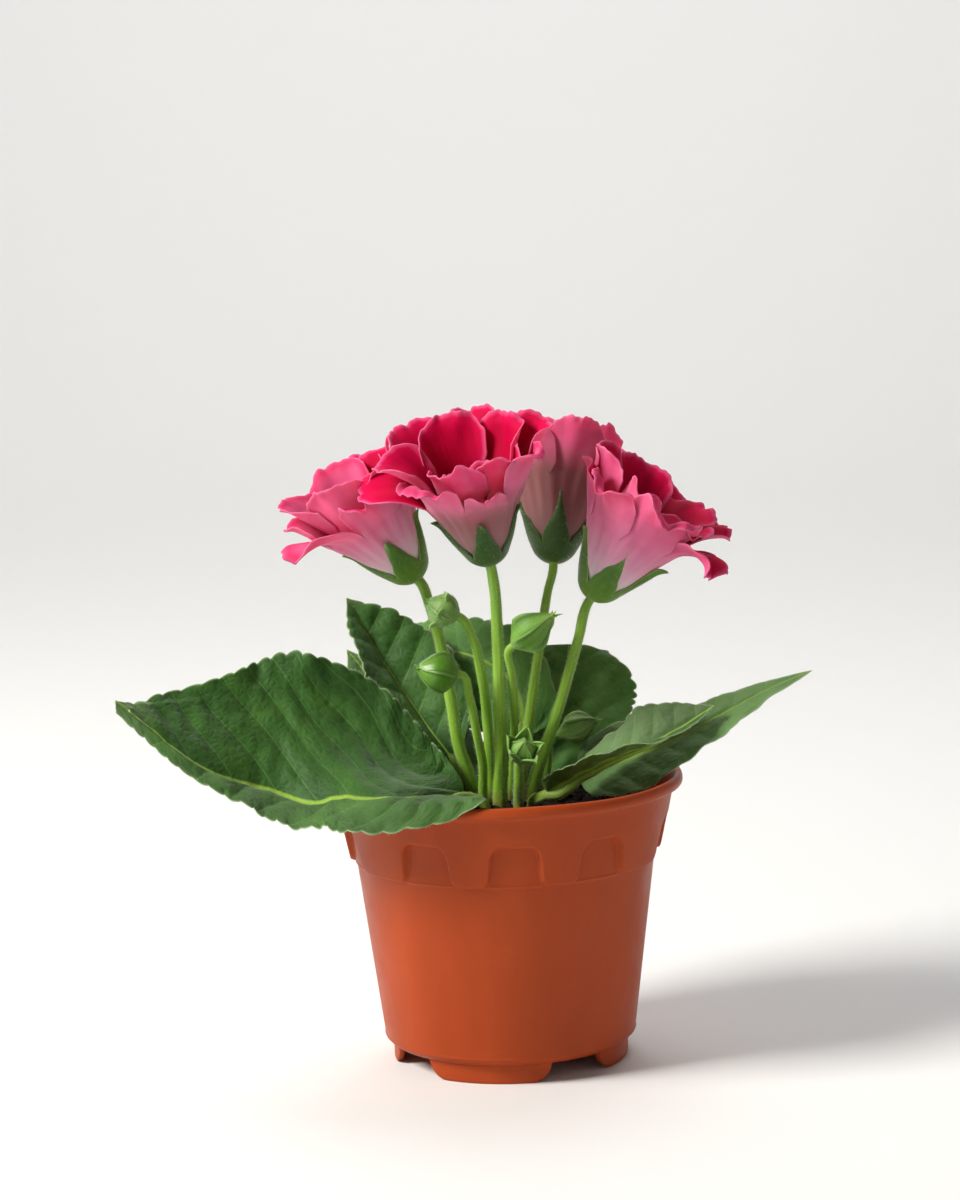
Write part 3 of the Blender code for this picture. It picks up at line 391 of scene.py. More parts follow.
def potMaterial(name):
    # Coloured polypropylene, thermoformed: satin skin, faint flow streaks round it, dust and small scuffs
    made, = newMaterial(name, {"IOR": 1.49, "Specular IOR Level": 0.18, "Subsurface Weight": 0.06,
                               "Subsurface Radius": (1.0, 0.35, 0.15), "Subsurface Scale": 0.002})
    shade = addNode(made, "Attribute", {}, attribute_name="shade")["Fac"]
    place = addNode(made, "TexCoord", {})["Object"]
    long = addNode(made, "Mapping", {"Vector": place, "Scale": (1.0, 1.0, 0.35)})[0]
    flow = addNode(made, "TexNoise", {"Vector": long, "Scale": 26.0, "Detail": 4.0, "Roughness": 0.55})[0]
    grain = addNode(made, "TexNoise", {"Vector": place, "Scale": 900.0})[0]
    dust = addNode(made, "TexNoise", {"Vector": place, "Scale": 70.0, "Detail": 5.0, "Roughness": 0.65})[0]
    tones = ((0.3, "#9C3D14"), (0.5, "#A64117"), (0.72, "#B0481C"))
    color = addNode(made, "ValToRGB", {0: flow}, stops=tones)[0]
    # The dark brown layer is painted shade over the inside of the pot
    color = paintOver(made, color, ((dust, 0.62, 0.80, 0.0, 0.14, "#C07850"),
                                    (shade, 0.0, 1.0, 0.0, 1.0, "#2A120C")))
    rough = addNode(made, "MapRange", {0: dust, 1: 0.3, 2: 0.75, 3: 0.34, 4: 0.52})[0]
    streaks = addNode(made, "Math", {0: flow, 1: 0.8}, operation="MULTIPLY")[0]
    height = addNode(made, "Math", {0: grain, 1: 0.12, 2: streaks}, operation="MULTIPLY_ADD")[0]
    return finishSkin(made, color, height, 0.25, 0.0005, Roughness=rough)


def soilMaterial(name):
    # Moist peat: crumbly and nearly black, with brown fibres
    made, = newMaterial(name, {"Roughness": 0.92, "IOR": 1.45, "Specular IOR Level": 0.25})
    place = addNode(made, "TexCoord", {})["Object"]
    lumps = addNode(made, "TexNoise", {"Vector": place, "Scale": 420.0, "Detail": 5.0, "Roughness": 0.7})[0]
    tones = ((0.30, "#080605"), (0.52, "#1A110B"), (0.70, "#33231A"), (0.85, "#5A4030"))
    color = addNode(made, "ValToRGB", {0: lumps}, stops=tones)[0]
    return finishSkin(made, color, lumps, 0.9, 0.0012)


finishes = dict(
    outside=petalMaterial("petalOutsideVelvet", True),
    inside=petalMaterial("petalInsideVelvet", False),
    stalk=stemMaterial("stalkFleshy", ((0.0, "#7A6A2C"), (0.10, "#76A028"), (0.5, "#90BC3A"),
                                       (1.0, "#88B440"))),
    petiole=stemMaterial("petioleFleshy", ((0.0, "#74842A"), (0.2, "#7FA632"), (1.0, "#8FB944"))),
    sepal=stemMaterial("sepalLeafy", ((0.0, "#7C9C30"), (0.30, "#62882A"), (0.7, "#466E20"),
                                      (1.0, "#5C882C"))),
    budGreen=stemMaterial("budSkin", ((0.0, "#6E9E36"), (0.6, "#649632"), (1.0, "#84AE4C"))),
    budPale=stemMaterial("budSkinDowny", ((0.0, "#6E9446"), (0.6, "#769C50"), (1.0, "#4C7A2C"))),
    budShining=stemMaterial("budSkinShining", ((0.0, "#4E7C1A"), (0.6, "#487A1A"), (1.0, "#76A634")), 0.28),
    leafTop=leafMaterial("leafTopVelvet", ("#284A1B", "#325A1F", "#426C25")),
    # A lighter copy of the leaf top: painted light for the back and right leaves
    leafLight=leafMaterial("leafTopVelvetPaintedLight", ("#426E30", "#507E38", "#608E42")),
    leafUnder=leafMaterial("leafUndersideDowny", ("#4C6E3E", "#5C8049", "#6E9156"), underSide),
    # A darker olive copy of the underside: painted shade on the underside of the front right leaf
    leafOlive=leafMaterial("leafUndersidePaintedShade", ("#3E5C16", "#4A6C1A", "#5C8024")),
    hair=hairMaterial("plantHair"),
    pot=potMaterial("polypropyleneThermoformed"),
    soil=soilMaterial("peatCrumbled"),
)
print("materials made")


# Pot: sizes in mm from its axis and its foot, angles in degrees from the front

potShape = dict(baseRadius=41.15, taper=0.1295, wall=1.3, bandLow=68.6, bandStep=2.0, bandTall=23.4,
                bandFlare=4.87, bandRadius=54.5, windowTop=82.5, windowHalf=7.5, corner=3.8, flare=0.135,
                tongueCorner=3.2, recess=0.35, soft=0.45, line=0.28, creaseHeight=9.0, crease=0.22,
                foldSpread=0.35, footGap=(22, 30), baseTuck=0.45, uneven=(0.18, 0.1),
                windowAzimuths=[3.0 + a for a in (0, 33, 78, 112.5, 147, 180, -147, -112.5, -78, -33)],
                footAzimuths=(-12.0, 78.0, 168.0, 258.0), insideRings=8, insideShade=0.55,
                base=((6.0, 6.5), (34.0, 6.5), (39.2, 6.5), (40.3, 6.6), (41.0, 7.0)),
                lip=((57.0, 91.9), (57.5, 92.2), (58.6, 92.25), (59.3, 92.5), (59.75, 93.0), (60.0, 93.7),
                     (60.0, 94.6), (59.8, 95.4), (59.4, 96.0), (58.9, 96.35), (58.3, 96.4), (57.8, 96.2),
                     (57.3, 95.6), (56.7, 94.3), (55.8, 92.0), (55.3, 90), (54.8, 88), (54.2, 85.6),
                     (53.6, 84.9), (51.2, 84.3), (50.6, 83.9), (50.3, 82.5), (49.7, 75), (48.6, 66)),
                innerWall=(54.0, 40.0, 25.0, 12.0, 9.2), innerFloor=((40.4, 8.2), (36.0, 8.1), (6.0, 8.1)))
drains = dict(count=8, circle=27.0, radius=4.0, middle=7.3, tall=6.0)
footShape = dict(half=31.2, straight=20.0, curved=11.3, rise=6.9, top=7.4, radius=39.6, flare=0.3, wall=1.9,
                 grid=(12, 63))


def bodyRadius(z):
    # The plain wall widens evenly with its height
    return potShape["baseRadius"] + potShape["taper"] * z


def turnFrom(azimuth, places):
    # Degrees to the nearest of the places round the pot
    return np.min([np.abs((azimuth - a + 180) % 360 - 180) for a in places], axis=0)


def roundPot(r, a, z):
    # Points at a radius, an angle from the front and a height
    return np.stack([r * np.sin(a), -r * np.cos(a), z + 0 * a], -1)


def outerWall(z, azimuth):
    # The band's radius, eased down to the plain wall's inside each window and below the band
    p = potShape
    below = z - p["bandLow"]
    plain = bodyRadius(z)
    band = bodyRadius(p["bandLow"]) + p["bandStep"] + below * p["bandFlare"] / p["bandTall"]
    across = np.radians(turnFrom(azimuth, p["windowAzimuths"])) * p["bandRadius"]
    lean = (p["windowTop"] - z) * p["flare"]
    dx, dz = across - (p["windowHalf"] + lean - p["corner"]), z - (p["windowTop"] - p["corner"])
    window = np.hypot(np.maximum(dx, 0), np.maximum(dz, 0)) + np.minimum(np.maximum(dx, dz), 0) - p["corner"]
    mix = np.clip(0.5 + 0.5 * (below - window) / p["tongueCorner"], 0, 1)
    recessed = window * mix + below * (1 - mix) - p["tongueCorner"] * mix * (1 - mix)
    share = smoothStep(-recessed, -p["soft"], p["soft"])
    line = p["line"] * np.exp(-(below / p["soft"]) ** 2) * (window < 0)
    floorRadius = plain + p["recess"] * smoothStep(below, -0.3, 0.3) + line
    offFoot = 1 - smoothStep(turnFrom(azimuth, p["footAzimuths"]), *p["footGap"])
    crease = p["crease"] * np.exp(-((z - p["creaseHeight"]) / p["foldSpread"]) ** 2) * offFoot
    return np.where(below < -6, plain + crease, band * (1 - share) + floorRadius * share)


def potRings():
    # Rings from the base's middle up the outer wall, over the lip and down the inside to the pot's floor
    p = potShape
    edges = np.concatenate([np.linspace(-13.2, -4.5, 20), np.linspace(4.5, 13.2, 20), [-2, 2]])
    azimuths = np.concatenate([a + edges for a in p["windowAzimuths"]] + [np.arange(0, 360, 3.0)]) % 360
    azimuths = np.unique(np.round(azimuths, 2))
    azimuths = azimuths[np.concatenate([[True], np.diff(azimuths) > 0.3])]
    # Rings stand close at the crease and at the windows' lower and upper edges
    heights = np.concatenate([[8.0, 8.3, 8.6, 8.8, 9.0, 9.2, 9.4, 9.8, 12], np.linspace(16, 60, 8),
                              np.linspace(63, 66.5, 5), np.arange(66.9, 71.6, 0.3),
                              np.linspace(72.2, 77.4, 7), np.arange(78.0, 83.8, 0.4),
                              [84.4, 86, 88, 90, 91.4]])
    a = np.radians(azimuths)
    z = heights[:, None] + 0 * a
    r = outerWall(z, azimuths[None] + 0 * z)
    r[0] -= p["baseTuck"]
    rings = [roundPot(ringRadius, a, height) for ringRadius, height in p["base"]] + list(roundPot(r, a, z))
    inner = [(bodyRadius(height) - p["wall"], height) for height in p["innerWall"]] + list(p["innerFloor"])
    wobble = p["uneven"][0] * np.sin(3 * a + 0.7) + p["uneven"][1] * np.sin(7 * a)
    for ringRadius, height in list(p["lip"]) + inner:
        rings.append(roundPot(ringRadius, a, height + (wobble if height > 90 else 0.0)))
    return np.array(rings)


def makeFoot(azimuth):
    # A curved plate under the wall: its lower edge rises in a rounded corner at both ends
    f = footShape
    rows, cols = f["grid"]
    turn = np.linspace(-f["half"], f["half"], cols)
    low = f["rise"] * (1 - np.sqrt(1 - np.clip((np.abs(turn) - f["straight"]) / f["curved"], 0, 1) ** 2))
    z = low + (f["top"] - low) * np.linspace(0, 1, rows)[:, None]
    angle = np.radians(azimuth + turn)[None] + 0 * z
    r = f["radius"] + f["flare"] * smoothStep(z, 4.2, 6.5) - 0.35 * smoothStep(-z, -1.0, 0.0)
    sheet = shell(roundPot(r, angle, z).reshape(-1, 3), [(gridFaces(rows, cols), 0)],
                  shade=np.zeros((rows * cols, 1)))
    return thicken(sheet, f["wall"], back=0)


def makePot():
    # The closed wall, its inside darkened by painted shade, with the drain holes cut through its floor, and
    # four feet
    rings = potRings()
    inside = np.zeros(rings.shape[:2] + (1,))
    # Painted shade over the last rings, those inside the pot
    inside[-potShape["insideRings"]:] = potShape["insideShade"]
    body = closedTube(rings, shade=inside)
    piece = addPiece("pot_shell", [body], [finishes["pot"]], ["pot"])
    cutters = bpy.data.collections.new("drainCutters")
    circle, radius, middle, tall = (0.001 * drains[key] for key in ("circle", "radius", "middle", "tall"))
    for k in range(drains["count"]):
        a = 2 * math.pi * (k + 0.5) / drains["count"]
        bpy.ops.mesh.primitive_cylinder_add(vertices=28, radius=radius, depth=tall)
        drill = bpy.context.object
        drill.location = (potAxis[0] + circle * math.cos(a), potAxis[1] + circle * math.sin(a), middle)
        scene.collection.objects.unlink(drill)
        cutters.objects.link(drill)
    cut = piece.modifiers.new("Drains", "BOOLEAN")
    cut.operand_type, cut.collection, cut.solver = "COLLECTION", cutters, "EXACT"
    graph = bpy.context.evaluated_depsgraph_get()
    mesh = bpy.data.meshes.new_from_object(piece.evaluated_get(graph))
    piece.modifiers.clear()
    piece.data = mesh
    for drill in list(cutters.objects):
        bpy.data.objects.remove(drill, do_unlink=True)
    bpy.data.collections.remove(cutters)
    feet = [makeFoot(azimuth) for azimuth in potShape["footAzimuths"]]
    addPiece("pot_feet", feet, [finishes["pot"]], [])


# Soil

soilShape = dict(top=86.3, stemFoot=79.0, rough=((0.45, 5.0), (0.3, 2.2), (0.2, 1.1)), crumbs=420, reach=52.5,
                 size=(0.5, 1.5), golden=1.618, seed=5,
                 wall=((39.6, 8.5), (40.3, 9.5), (47.9, 66.0), (49.8, 84.2), (53.2, 85.4)))


def soilHeight(x, y):
    # The CAD soil's gentle mounds
    bumps = 0.5 * np.sin(0.21 * x + 1.0) * np.cos(0.17 * y) + 0.3 * np.sin(0.37 * y + 0.29 * x)
    fading = np.maximum(0.0, 1 - (np.hypot(x, y) / 52) ** 4)
    return soilShape["top"] + (bumps + 0.3 * np.exp(-(x * x + y * y) / 500)) * fading


def makeSoil():
    # A closed bed whose top is the mounds and three sizes of roughness, and twelve-cornered crumbs on it
    turn = np.linspace(0, 2 * math.pi, 150, endpoint=False)
    rings = [np.stack([r * np.cos(turn), r * np.sin(turn), z + 0 * turn], 1) for r, z in soilShape["wall"]]
    for r in np.linspace(53.5, 1.0, 64):
        place = np.stack([r * np.cos(turn), r * np.sin(turn)], 1)
        coarse, lumpy, fine = (deep * softNoise(place, pitch, seed + 1)
                               for seed, (deep, pitch) in enumerate(soilShape["rough"]))
        rough = coarse + np.abs(lumpy) + fine
        height = soilHeight(*place.T) + rough * min(1.0, (54 - r) / 3 + 0.3)
        rings.append(np.concatenate([place, height[:, None]], 1))
    bed = closedTube(np.array(rings))
    rng = np.random.default_rng(soilShape["seed"])
    golden = soilShape["golden"]
    corners = unit(np.array([np.roll((0.0, s, t), -k) for k in range(3) for s in (-1, 1)
                             for t in (-golden, golden)]))
    apart = np.linalg.norm(corners[:, None] - corners, axis=2)
    hull = np.array([(i, j, k) for i in range(12) for j in range(i + 1, 12) for k in range(j + 1, 12)
                     if max(apart[i, j], apart[j, k], apart[i, k]) < 1.1])
    first, second, third = (corners[hull[:, k]] for k in range(3))
    flip = (np.cross(second - first, third - first) * first).sum(1) < 0
    hull[flip] = hull[flip][:, ::-1]
    n = soilShape["crumbs"]
    r, a = soilShape["reach"] * np.sqrt(rng.uniform(0, 1, n)), rng.uniform(0, 2 * math.pi, n)
    middle = np.stack([r * np.cos(a), r * np.sin(a)], 1)
    size = rng.uniform(*soilShape["size"], n)
    lumps = corners[None] * (size[:, None, None] * rng.uniform(0.7, 1.25, (n, 12, 1)))
    lumps = lumps * np.array([1, 1, 0.75])
    lumps += np.concatenate([middle, (soilHeight(*middle.T) + size * 0.3)[:, None]], 1)[:, None]
    crumbs = shell(lumps.reshape(-1, 3), [((np.arange(n)[:, None, None] * 12 + hull).reshape(-1, 3), 0)])
    addPiece("soil_bed", [bed, crumbs], [finishes["soil"]], ["soil"])


makePot()
makeSoil()
print("pot and soil made")


# Leaves: the same spines, widths and folds as the solids have, drawn finely with teeth, veins and quilting

potRim = dict(radius=60.9, height=98.6, hang=7.6)
stemLook = dict(first=(1.0, 0.2, 0.0), uneven=0.045, bumps=(2.2, 0.16), fluted=0.02, streaks=(3.0, 0.05),
                low=86, tall=70)
petioleLook = dict(foot=(2.1, 1.75), rib=[1.7, 1.25, 0.7, 0.22], places=[0, 0.15, 0.6, 1], sunk=0.3, deep=0.9,
                   haired=50, hairs=380, length=(0.3, 0.8))
hairLook = dict(sunk=0.1, scatter=0.28, stem=0.04, leaf=0.045, sepal=0.035)
toothLook = dict(sharp=0.62, deep=1.15, uneven=0.35, fullAt=9, least=0.10, tipBare=0.05, rootedAt=0.72,
                 drift=((0.35, 7.1), (0.18, 19)))
quiltLook = dict(round=2.2, flank=0.22, marginFrom=0.72, marginFlat=0.75, rimDown=0.35, cross=0.14,
                 crossPitch=5.4, soft=((0.16, 9.0), (0.02, 3.0)), wave=0.5, wavePitch=13.5,
                 offset=(0.42, 0.10), arch=0.006)
ribLook = dict(places=[0, 0.25, 0.55, 1], widths=[1.0, 0.75, 0.40, 0.18])
# tip is the point past the spine, trim rounds the base's corners, bow leans the veins to the tip, rib is the
# midrib's width, a pale tint of painted sheen goes over each half by its own pair, and quilt is how far the
# blade swells between its veins
leafLook = dict(thickness=0.55, columns=2, rests=False, tip=3.0, rightCurl=(0, 0), leftCurl=(0, 0),
                fall=(1.9, 1.9), rise=(0.8, 0.8), trim=(0.05, 0.05), tooth=1.25, bow=0.62, rib=1.7,
                frost=(0.0, 0.0), paleTip=0.3, fuzz=(0.35, 0.9), finish="leafTop", under="leafUnder")
leaves = {
    # Spine and widths in mm, angles in degrees from spine to tip; pairs are the right half's, then the left's
    # The big leaf over the left of the rim
    "leaf_1": dict(
        spine=[(-6.5, -11), (-8.5, -11, 89.4), (-13.5, -11, 90.8), (-26, -9.5, 92.8), (-40, -7.5, 95.4),
               (-55, -5, 98.5), (-70, -6, 100.6), (-83, -9, 103.6), (-95, -14, 108.6),
               (-106, -20, 115.5), (-112, -24, 120.5), (-118, -28, 125)],
        tip=11.0, start=0.12, up=[(0, 0, 1), (0.25, -0.30, 1)], right=38.5, left=56.0, rightCurl=(10, 0),
        rightAngle=(38, 64, 70, 62, 24), leftAngle=(3, 1, -9, -8, -4), base=(0.22, 0.88), belly=(0.50, 0.16),
        fall=(1.5, 1.35), rise=(1.25, 0.8), teeth=17, wave=5.0, columns=4, rests=True, fine=(230, 34),
        scallops=25, veins=7, quilt=1.1, trim=(0.07, 0.012), frost=(0.0, 0.10), rib=2.2, hairs=900, bow=0.95,
        ribShift=(0.0, 0.45, 0.68, 0.72, 0.62, 0.40, 0.45, 0.72, 0.88, 0.90, 0.90),
        sag=(0, 0, 0, 1.0, 2.0, -1.0, -4.0, -5.0, -4.0), heel=16.0, heelLong=0.20, evened=260, evenTo=0.85,
        arrive=0.35),
    # The upright leaf behind it
    "leaf_2": dict(
        spine=[(-11, 9), (-12.4, 9.6, 91), (-17, 13, 99), (-23.5, 19, 107), (-31, 26, 117.5),
               (-39, 32, 129), (-45.5, 36, 140), (-50.5, 38, 149)],
        start=0.26, up=[(-0.3, -1, 0.6), (0.5, -1, 0.3)], right=20.0, left=15.0, rightCurl=(-10, -10),
        rightAngle=(10, 14, 14, 12, 8), leftAngle=(28, 42, 48, 40, 20), base=(0.4, 0.4), belly=(0.50, 0.42),
        teeth=14, wave=5.0, fine=(130, 18), scallops=14, veins=6, quilt=0.8, rib=0.35, hairs=500),
    # The leaf low behind both, made lighter by painted sheen
    "leaf_3": dict(
        spine=[(-13.5, 14.5), (-15.4, 16, 91), (-21, 22, 98), (-29, 30, 105), (-37, 38, 114),
               (-45, 43, 122.5), (-51, 46, 130)],
        start=0.10, up=[(0, -0.5, 1), (0, -0.6, 1)], right=13.5, left=16.0, rightCurl=(-15, -10),
        leftCurl=(-15, -10), rightAngle=(40, 20, 12, 10, 6), leftAngle=(15, 15, 12, 10, 6), base=(1.0, 0.6),
        belly=(0.42, 0.42), teeth=11, wave=4.0, fine=(100, 15), scallops=11, veins=5, quilt=0.7,
        frost=(0.35, 0.35), hairs=350),
    # The back leaf, seen between the middle stalks
    "leaf_4": dict(
        spine=[(3, 15), (4.6, 15.6, 95), (6.6, 17.5, 108), (6, 21, 119), (1, 26, 126), (-8, 32, 130.5),
               (-20, 40, 133), (-33, 48, 134.5), (-40, 52, 134)],
        start=0.27, up=[(0.2, -1, 0.3), (0, -0.75, 1)], right=14.0, left=22.0, rightCurl=(-15, -10),
        rightAngle=(14, 14, 12, 10, 8), leftAngle=(-12, -34, -30, -20, -10), base=(0.6, 0.95),
        belly=(0.45, 0.22), fall=(1.9, 1.1), teeth=12, wave=4.0, fine=(120, 18), scallops=12, veins=5,
        quilt=0.8, rib=0.9, hairs=450, finish="leafLight"),
    # The broad dark leaf at the back right
    "leaf_5": dict(
        spine=[(11, 15), (12.4, 17, 91), (15, 21.5, 98), (18, 26, 106), (21, 32.5, 116),
               (23, 38, 125), (24, 42, 132)],
        tip=0.6, start=0.20, up=[(-0.15, -1, 0.45), (-0.1, -1, 0.8)], right=24.5, left=26.0,
        rightCurl=(-16, -10), leftCurl=(-16, -10), rightAngle=(12, 12, 10, 8, 6), leftAngle=(0, 0, 0, 0, 0),
        base=(0.5, 0.5), belly=(0.48, 0.48), fall=(4.0, 4.0), teeth=15, wave=4.0, fine=(140, 22), scallops=15,
        veins=6, quilt=0.8, trim=(0.06, 0.06), rib=0.9, hairs=600, finish="leafLight"),
    # The long pointed leaf over the right of the rim
    "leaf_6": dict(
        spine=[(16, 2), (17.6, 2, 90), (22, 1.6, 92.6), (30, 0.6, 96), (42, -1, 100.4), (53, -3, 104.6),
               (67, -5, 112), (79, -6.5, 118.6), (89, -7.5, 123.8), (100.5, -8.5, 128.6)],
        start=0.20, up=[(0, -0.55, 1), (-0.3, -0.8, 1)], right=17.0, left=14.5, leftCurl=(-10, -6),
        rightAngle=(-4, 2, 8, 10, 6), leftAngle=(22, 20, 14, 8, 6), base=(0.6, 0.6), belly=(0.24, 0.20),
        fall=(1.1, 0.95), teeth=14, wave=3.0, tooth=0.35, fine=(170, 20), scallops=19, veins=8, quilt=0.7,
        trim=(0.04, 0.04), frost=(0.30, 0.38), rib=1.0, hairs=600, finish="leafLight"),
    # The leaf at the front right, its near half folded up and its far half lifted
    "leaf_7": dict(
        spine=[(9.5, -11), (9.9, -12.4, 89.4), (12, -15.5, 90.8), (15.2, -18.5, 92.8),
               (19, -20.5, 95.4), (25, -21.5, 99.4), (33, -21.5, 103.4), (44, -20, 107.4),
               (56, -16.5, 111.6), (68, -12.5, 118)],
        start=0.25, up=[(-0.35, 0.05, 1), (0.1, -0.25, 1)], right=8.0, left=14.5,
        rightAngle=(52, 40, 30, 14, 0), leftAngle=(4, 6, 14, 34, 22), base=(0.8, 0.5), belly=(0.30, 0.60),
        teeth=13, wave=3.0, tooth=0.8, fine=(150, 18), scallops=15, veins=7, quilt=0.6, trim=(0.04, 0.04),
        frost=(0.0, 0.42), rib=1.8, hairs=500, under="leafOlive"),
}


def rooted(points):
    # A stem's points after a straight upright foot in the soil
    x, y = points[0]
    foot, top = soilShape["stemFoot"], soilShape["top"]
    return [(x, y, foot), (x, y, foot + 4.5), (x, y, top + 1.7)] + list(points[1:])


def halfWidth(s, base, belly, fall, rise):
    # Outline of half a blade: rounded at the base, widest at the belly, pointed at the tip
    low = base + (1 - base) * np.sin(0.5 * math.pi * np.clip(s / belly, 0, 1)) ** rise
    high = 1 - np.clip((s - belly) / (1 - belly), 0, 1) ** fall
    return np.where(s < belly, low, high)


def overRim(p, toward, width):
    # The near half as it lies on the pot's rim: straight to the rim, then hanging outside it
    d = unit(toward * (1, 1, 0))
    ahead = (p[:, :2] * d[:, :2]).sum(1)
    square = ahead ** 2 - (p[:, :2] ** 2).sum(1) + potRim["radius"] ** 2
    run = np.sqrt(np.maximum(square, 0)) - ahead
    reached = (square > 0) & (np.linalg.norm(p[:, :2], axis=1) <= potRim["radius"] - 1.5)
    crease = p + d * run[:, None]
    crease[:, 2] = potRim["height"]
    line = crease - p
    left = np.maximum(width - run, 1e-6)
    drop = np.minimum(0.85 * left, potRim["hang"])
    outside = d * np.sqrt(left ** 2 - drop ** 2)[:, None] - drop[:, None] * np.array((0, 0, 1.0))
    short, even = width < run - 3, width < run + 4
    result = []
    for a, b, c in ((0.3, 0.5, None), (0.6, 0.9, 0.0), (0.85, 0.95, 0.5), (1.0, 1.0, 1.0)):
        shortPoint = p + line * (a * width / run)[:, None]
        evenPoint = p + line * b
        farPoint = p + line * 0.5 if c is None else crease + outside * c
        result.append(np.where(short[:, None], shortPoint, np.where(even[:, None], evenPoint, farPoint)))
    return reached, result


def coarseBlade(leaf):
    # The solid's own grid of points: rows along the spine, columns across each half
    steps, every = 240, 8
    fine = evenPath(rooted(leaf["spine"]), steps + 1)
    cut = int(round(steps * leaf["start"]))
    spots = fine[cut::every]
    if (steps - cut) % every:
        spots = np.vstack([spots, fine[-1:]])
    rows = leaf["teeth"] + 1
    blade = evenPath(spots, rows)
    s = np.linspace(0, 1, rows)
    tangent = unit(np.gradient(blade, axis=0))
    hint = np.stack([np.interp(s, [0, 1], [leaf["up"][0][k], leaf["up"][1][k]]) for k in range(3)], 1)
    normal = unit(hint - tangent * np.sum(hint * tangent, 1, keepdims=True))
    side = np.cross(tangent, normal)
    us = (0.0, 0.5, 1.0) if leaf["columns"] == 2 else (0.0, 0.3, 0.6, 0.85, 1.0)
    halves = []
    for sign, key in ((1, "right"), (-1, "left")):
        i = 0 if key == "right" else 1
        outline = [leaf[part][i] for part in ("base", "belly", "fall", "rise")]
        width = leaf[key] * halfWidth(s * 0.96, *outline)
        slope = np.radians(np.interp(s, np.linspace(0, 1, 5), leaf[key + "Angle"]))
        curl = np.radians(np.interp(s, [0, 1], leaf[key + "Curl"]))
        wave = math.radians(leaf["wave"]) * np.sin(2 * math.pi * 2.6 * s + (0.4 if sign > 0 else 2.2))
        u = np.linspace(0, 1, 41)
        angle = slope[:, None] + curl[:, None] * u ** 4 + 2.2 * wave[:, None] * u ** 2
        dx, dy = np.cos(angle) * width[:, None] / 40, np.sin(angle) * width[:, None] / 40
        x = np.concatenate([np.zeros((rows, 1)), np.cumsum(dx[:, :-1], 1)], 1)
        y = np.concatenate([np.zeros((rows, 1)), np.cumsum(dy[:, :-1], 1)], 1)
        picks = [int(round(40 * v)) for v in us]
        half = [blade + side * (sign * x[:, k:k + 1]) + normal * y[:, k:k + 1] for k in picks]
        if sign < 0 and leaf["rests"]:
            reached, laid = overRim(blade, side * sign, width)
            for c in range(4):
                half[c + 1] = np.where(reached[:, None], laid[c], half[c + 1])
        halves.append(np.stack(half, 1))
    tip = blade[-1] + tangent[-1] * leaf["tip"]
    return fine[:max(cut - 3, 8):3], pathRun(blade)[-1], s, np.array(us), halves, tip


def moveRib(grids, v, leaf):
    # Moves the midrib into the near half by a share of its width, so that the far half takes that strip over;
    # the old crease is averaged away, the near margin sags by its own list, and the base grows a rounded heel
    right, left = grids
    cols = right.shape[1]
    rightWide = np.linalg.norm(np.diff(right, axis=1), axis=2).sum(1)[:, None]
    leftWide = np.linalg.norm(np.diff(left, axis=1), axis=2).sum(1)[:, None]
    shift = np.interp(v, np.linspace(0, 1, len(leaf["ribShift"])), leaf["ribShift"])[:, None]
    u = np.linspace(0, 1, cols)[None]

    def pick(grid, at):
        at = np.clip(at, 0, 1) * (cols - 1)
        low = np.minimum(at.astype(int), cols - 2)
        rows = np.arange(len(grid))[:, None]
        return grid[rows, low] * (1 - (at - low))[..., None] + grid[rows, low + 1] * (at - low)[..., None]

    strip = shift * leftWide
    far = u * (strip + rightWide)
    inStrip = far < strip
    newRight = np.where(inStrip[..., None], pick(left, shift - far / leftWide),
                        pick(right, (far - strip) / rightWide))
    # The far half rises evenly from the moved midrib: a cubic from it to the half's own line near its margin
    k = int(leaf["evenTo"] * (cols - 1))
    first, last = newRight[:, :1], newRight[:, k:k + 1]
    slope = (newRight[:, k + 1:k + 2] - newRight[:, k - 1:k]) * leaf["arrive"] * k
    t = (np.arange(k + 1) / k)[None, :, None]
    newRight[:, :k + 1] = cubic(t, first, last, last - first, slope)
    newLeft = pick(left, shift + (1 - shift) * u)
    # Unevenness along the leaf is averaged away, but for the far margin
    for again in range(leaf["evened"]):
        newRight[1:-1, :k] = (newRight[:-2, :k] + 2 * newRight[1:-1, :k] + newRight[2:, :k]) / 4
        newLeft[1:-1] = (newLeft[:-2] + 2 * newLeft[1:-1] + newLeft[2:]) / 4
    newLeft[:, 0] = newRight[:, 0]
    sag = np.interp(v, np.linspace(0, 1, len(leaf["sag"])), leaf["sag"])[:, None] * u ** 1.4
    heel = leaf["heel"] * np.clip(1 - v[:, None] / leaf["heelLong"], 0, 1) ** 1.3
    heel = heel * u ** 1.3 * (1 - 0.25 * u ** 8)
    newLeft = newLeft + sag[..., None] * np.array((0, 0, 1.0)) + heel[..., None] * np.array((1.0, 0, 0.12))
    return [newRight, newLeft]


def fineHalf(half, tip, trim, s, us, v, extra, cols):
    # Half a blade as a fine grid, through the coarse one and on to the tip; the base corner is trimmed round,
    # because outer columns start a little further along
    full = np.concatenate([half, half[-1:] * 0.04 + tip * 0.96], 0)
    u = np.linspace(0, 1, cols)
    across = np.moveaxis(throughCurve(np.moveaxis(full, 1, 0), us, u), 0, 1)
    run = throughCurve(across, np.append(s, 1 + extra), np.linspace(0, 1 + extra, 600))
    warped = (v * (1 + extra))[:, None] + trim * u[None] ** 3 * (1 - v[:, None]) ** 7
    at = np.clip(warped / (1 + extra) * 599, 0, 598.999)
    low = at.astype(int)
    part = (at - low)[..., None]
    j = np.arange(cols)[None]
    return run[low, j] * (1 - part) + run[low + 1, j] * part


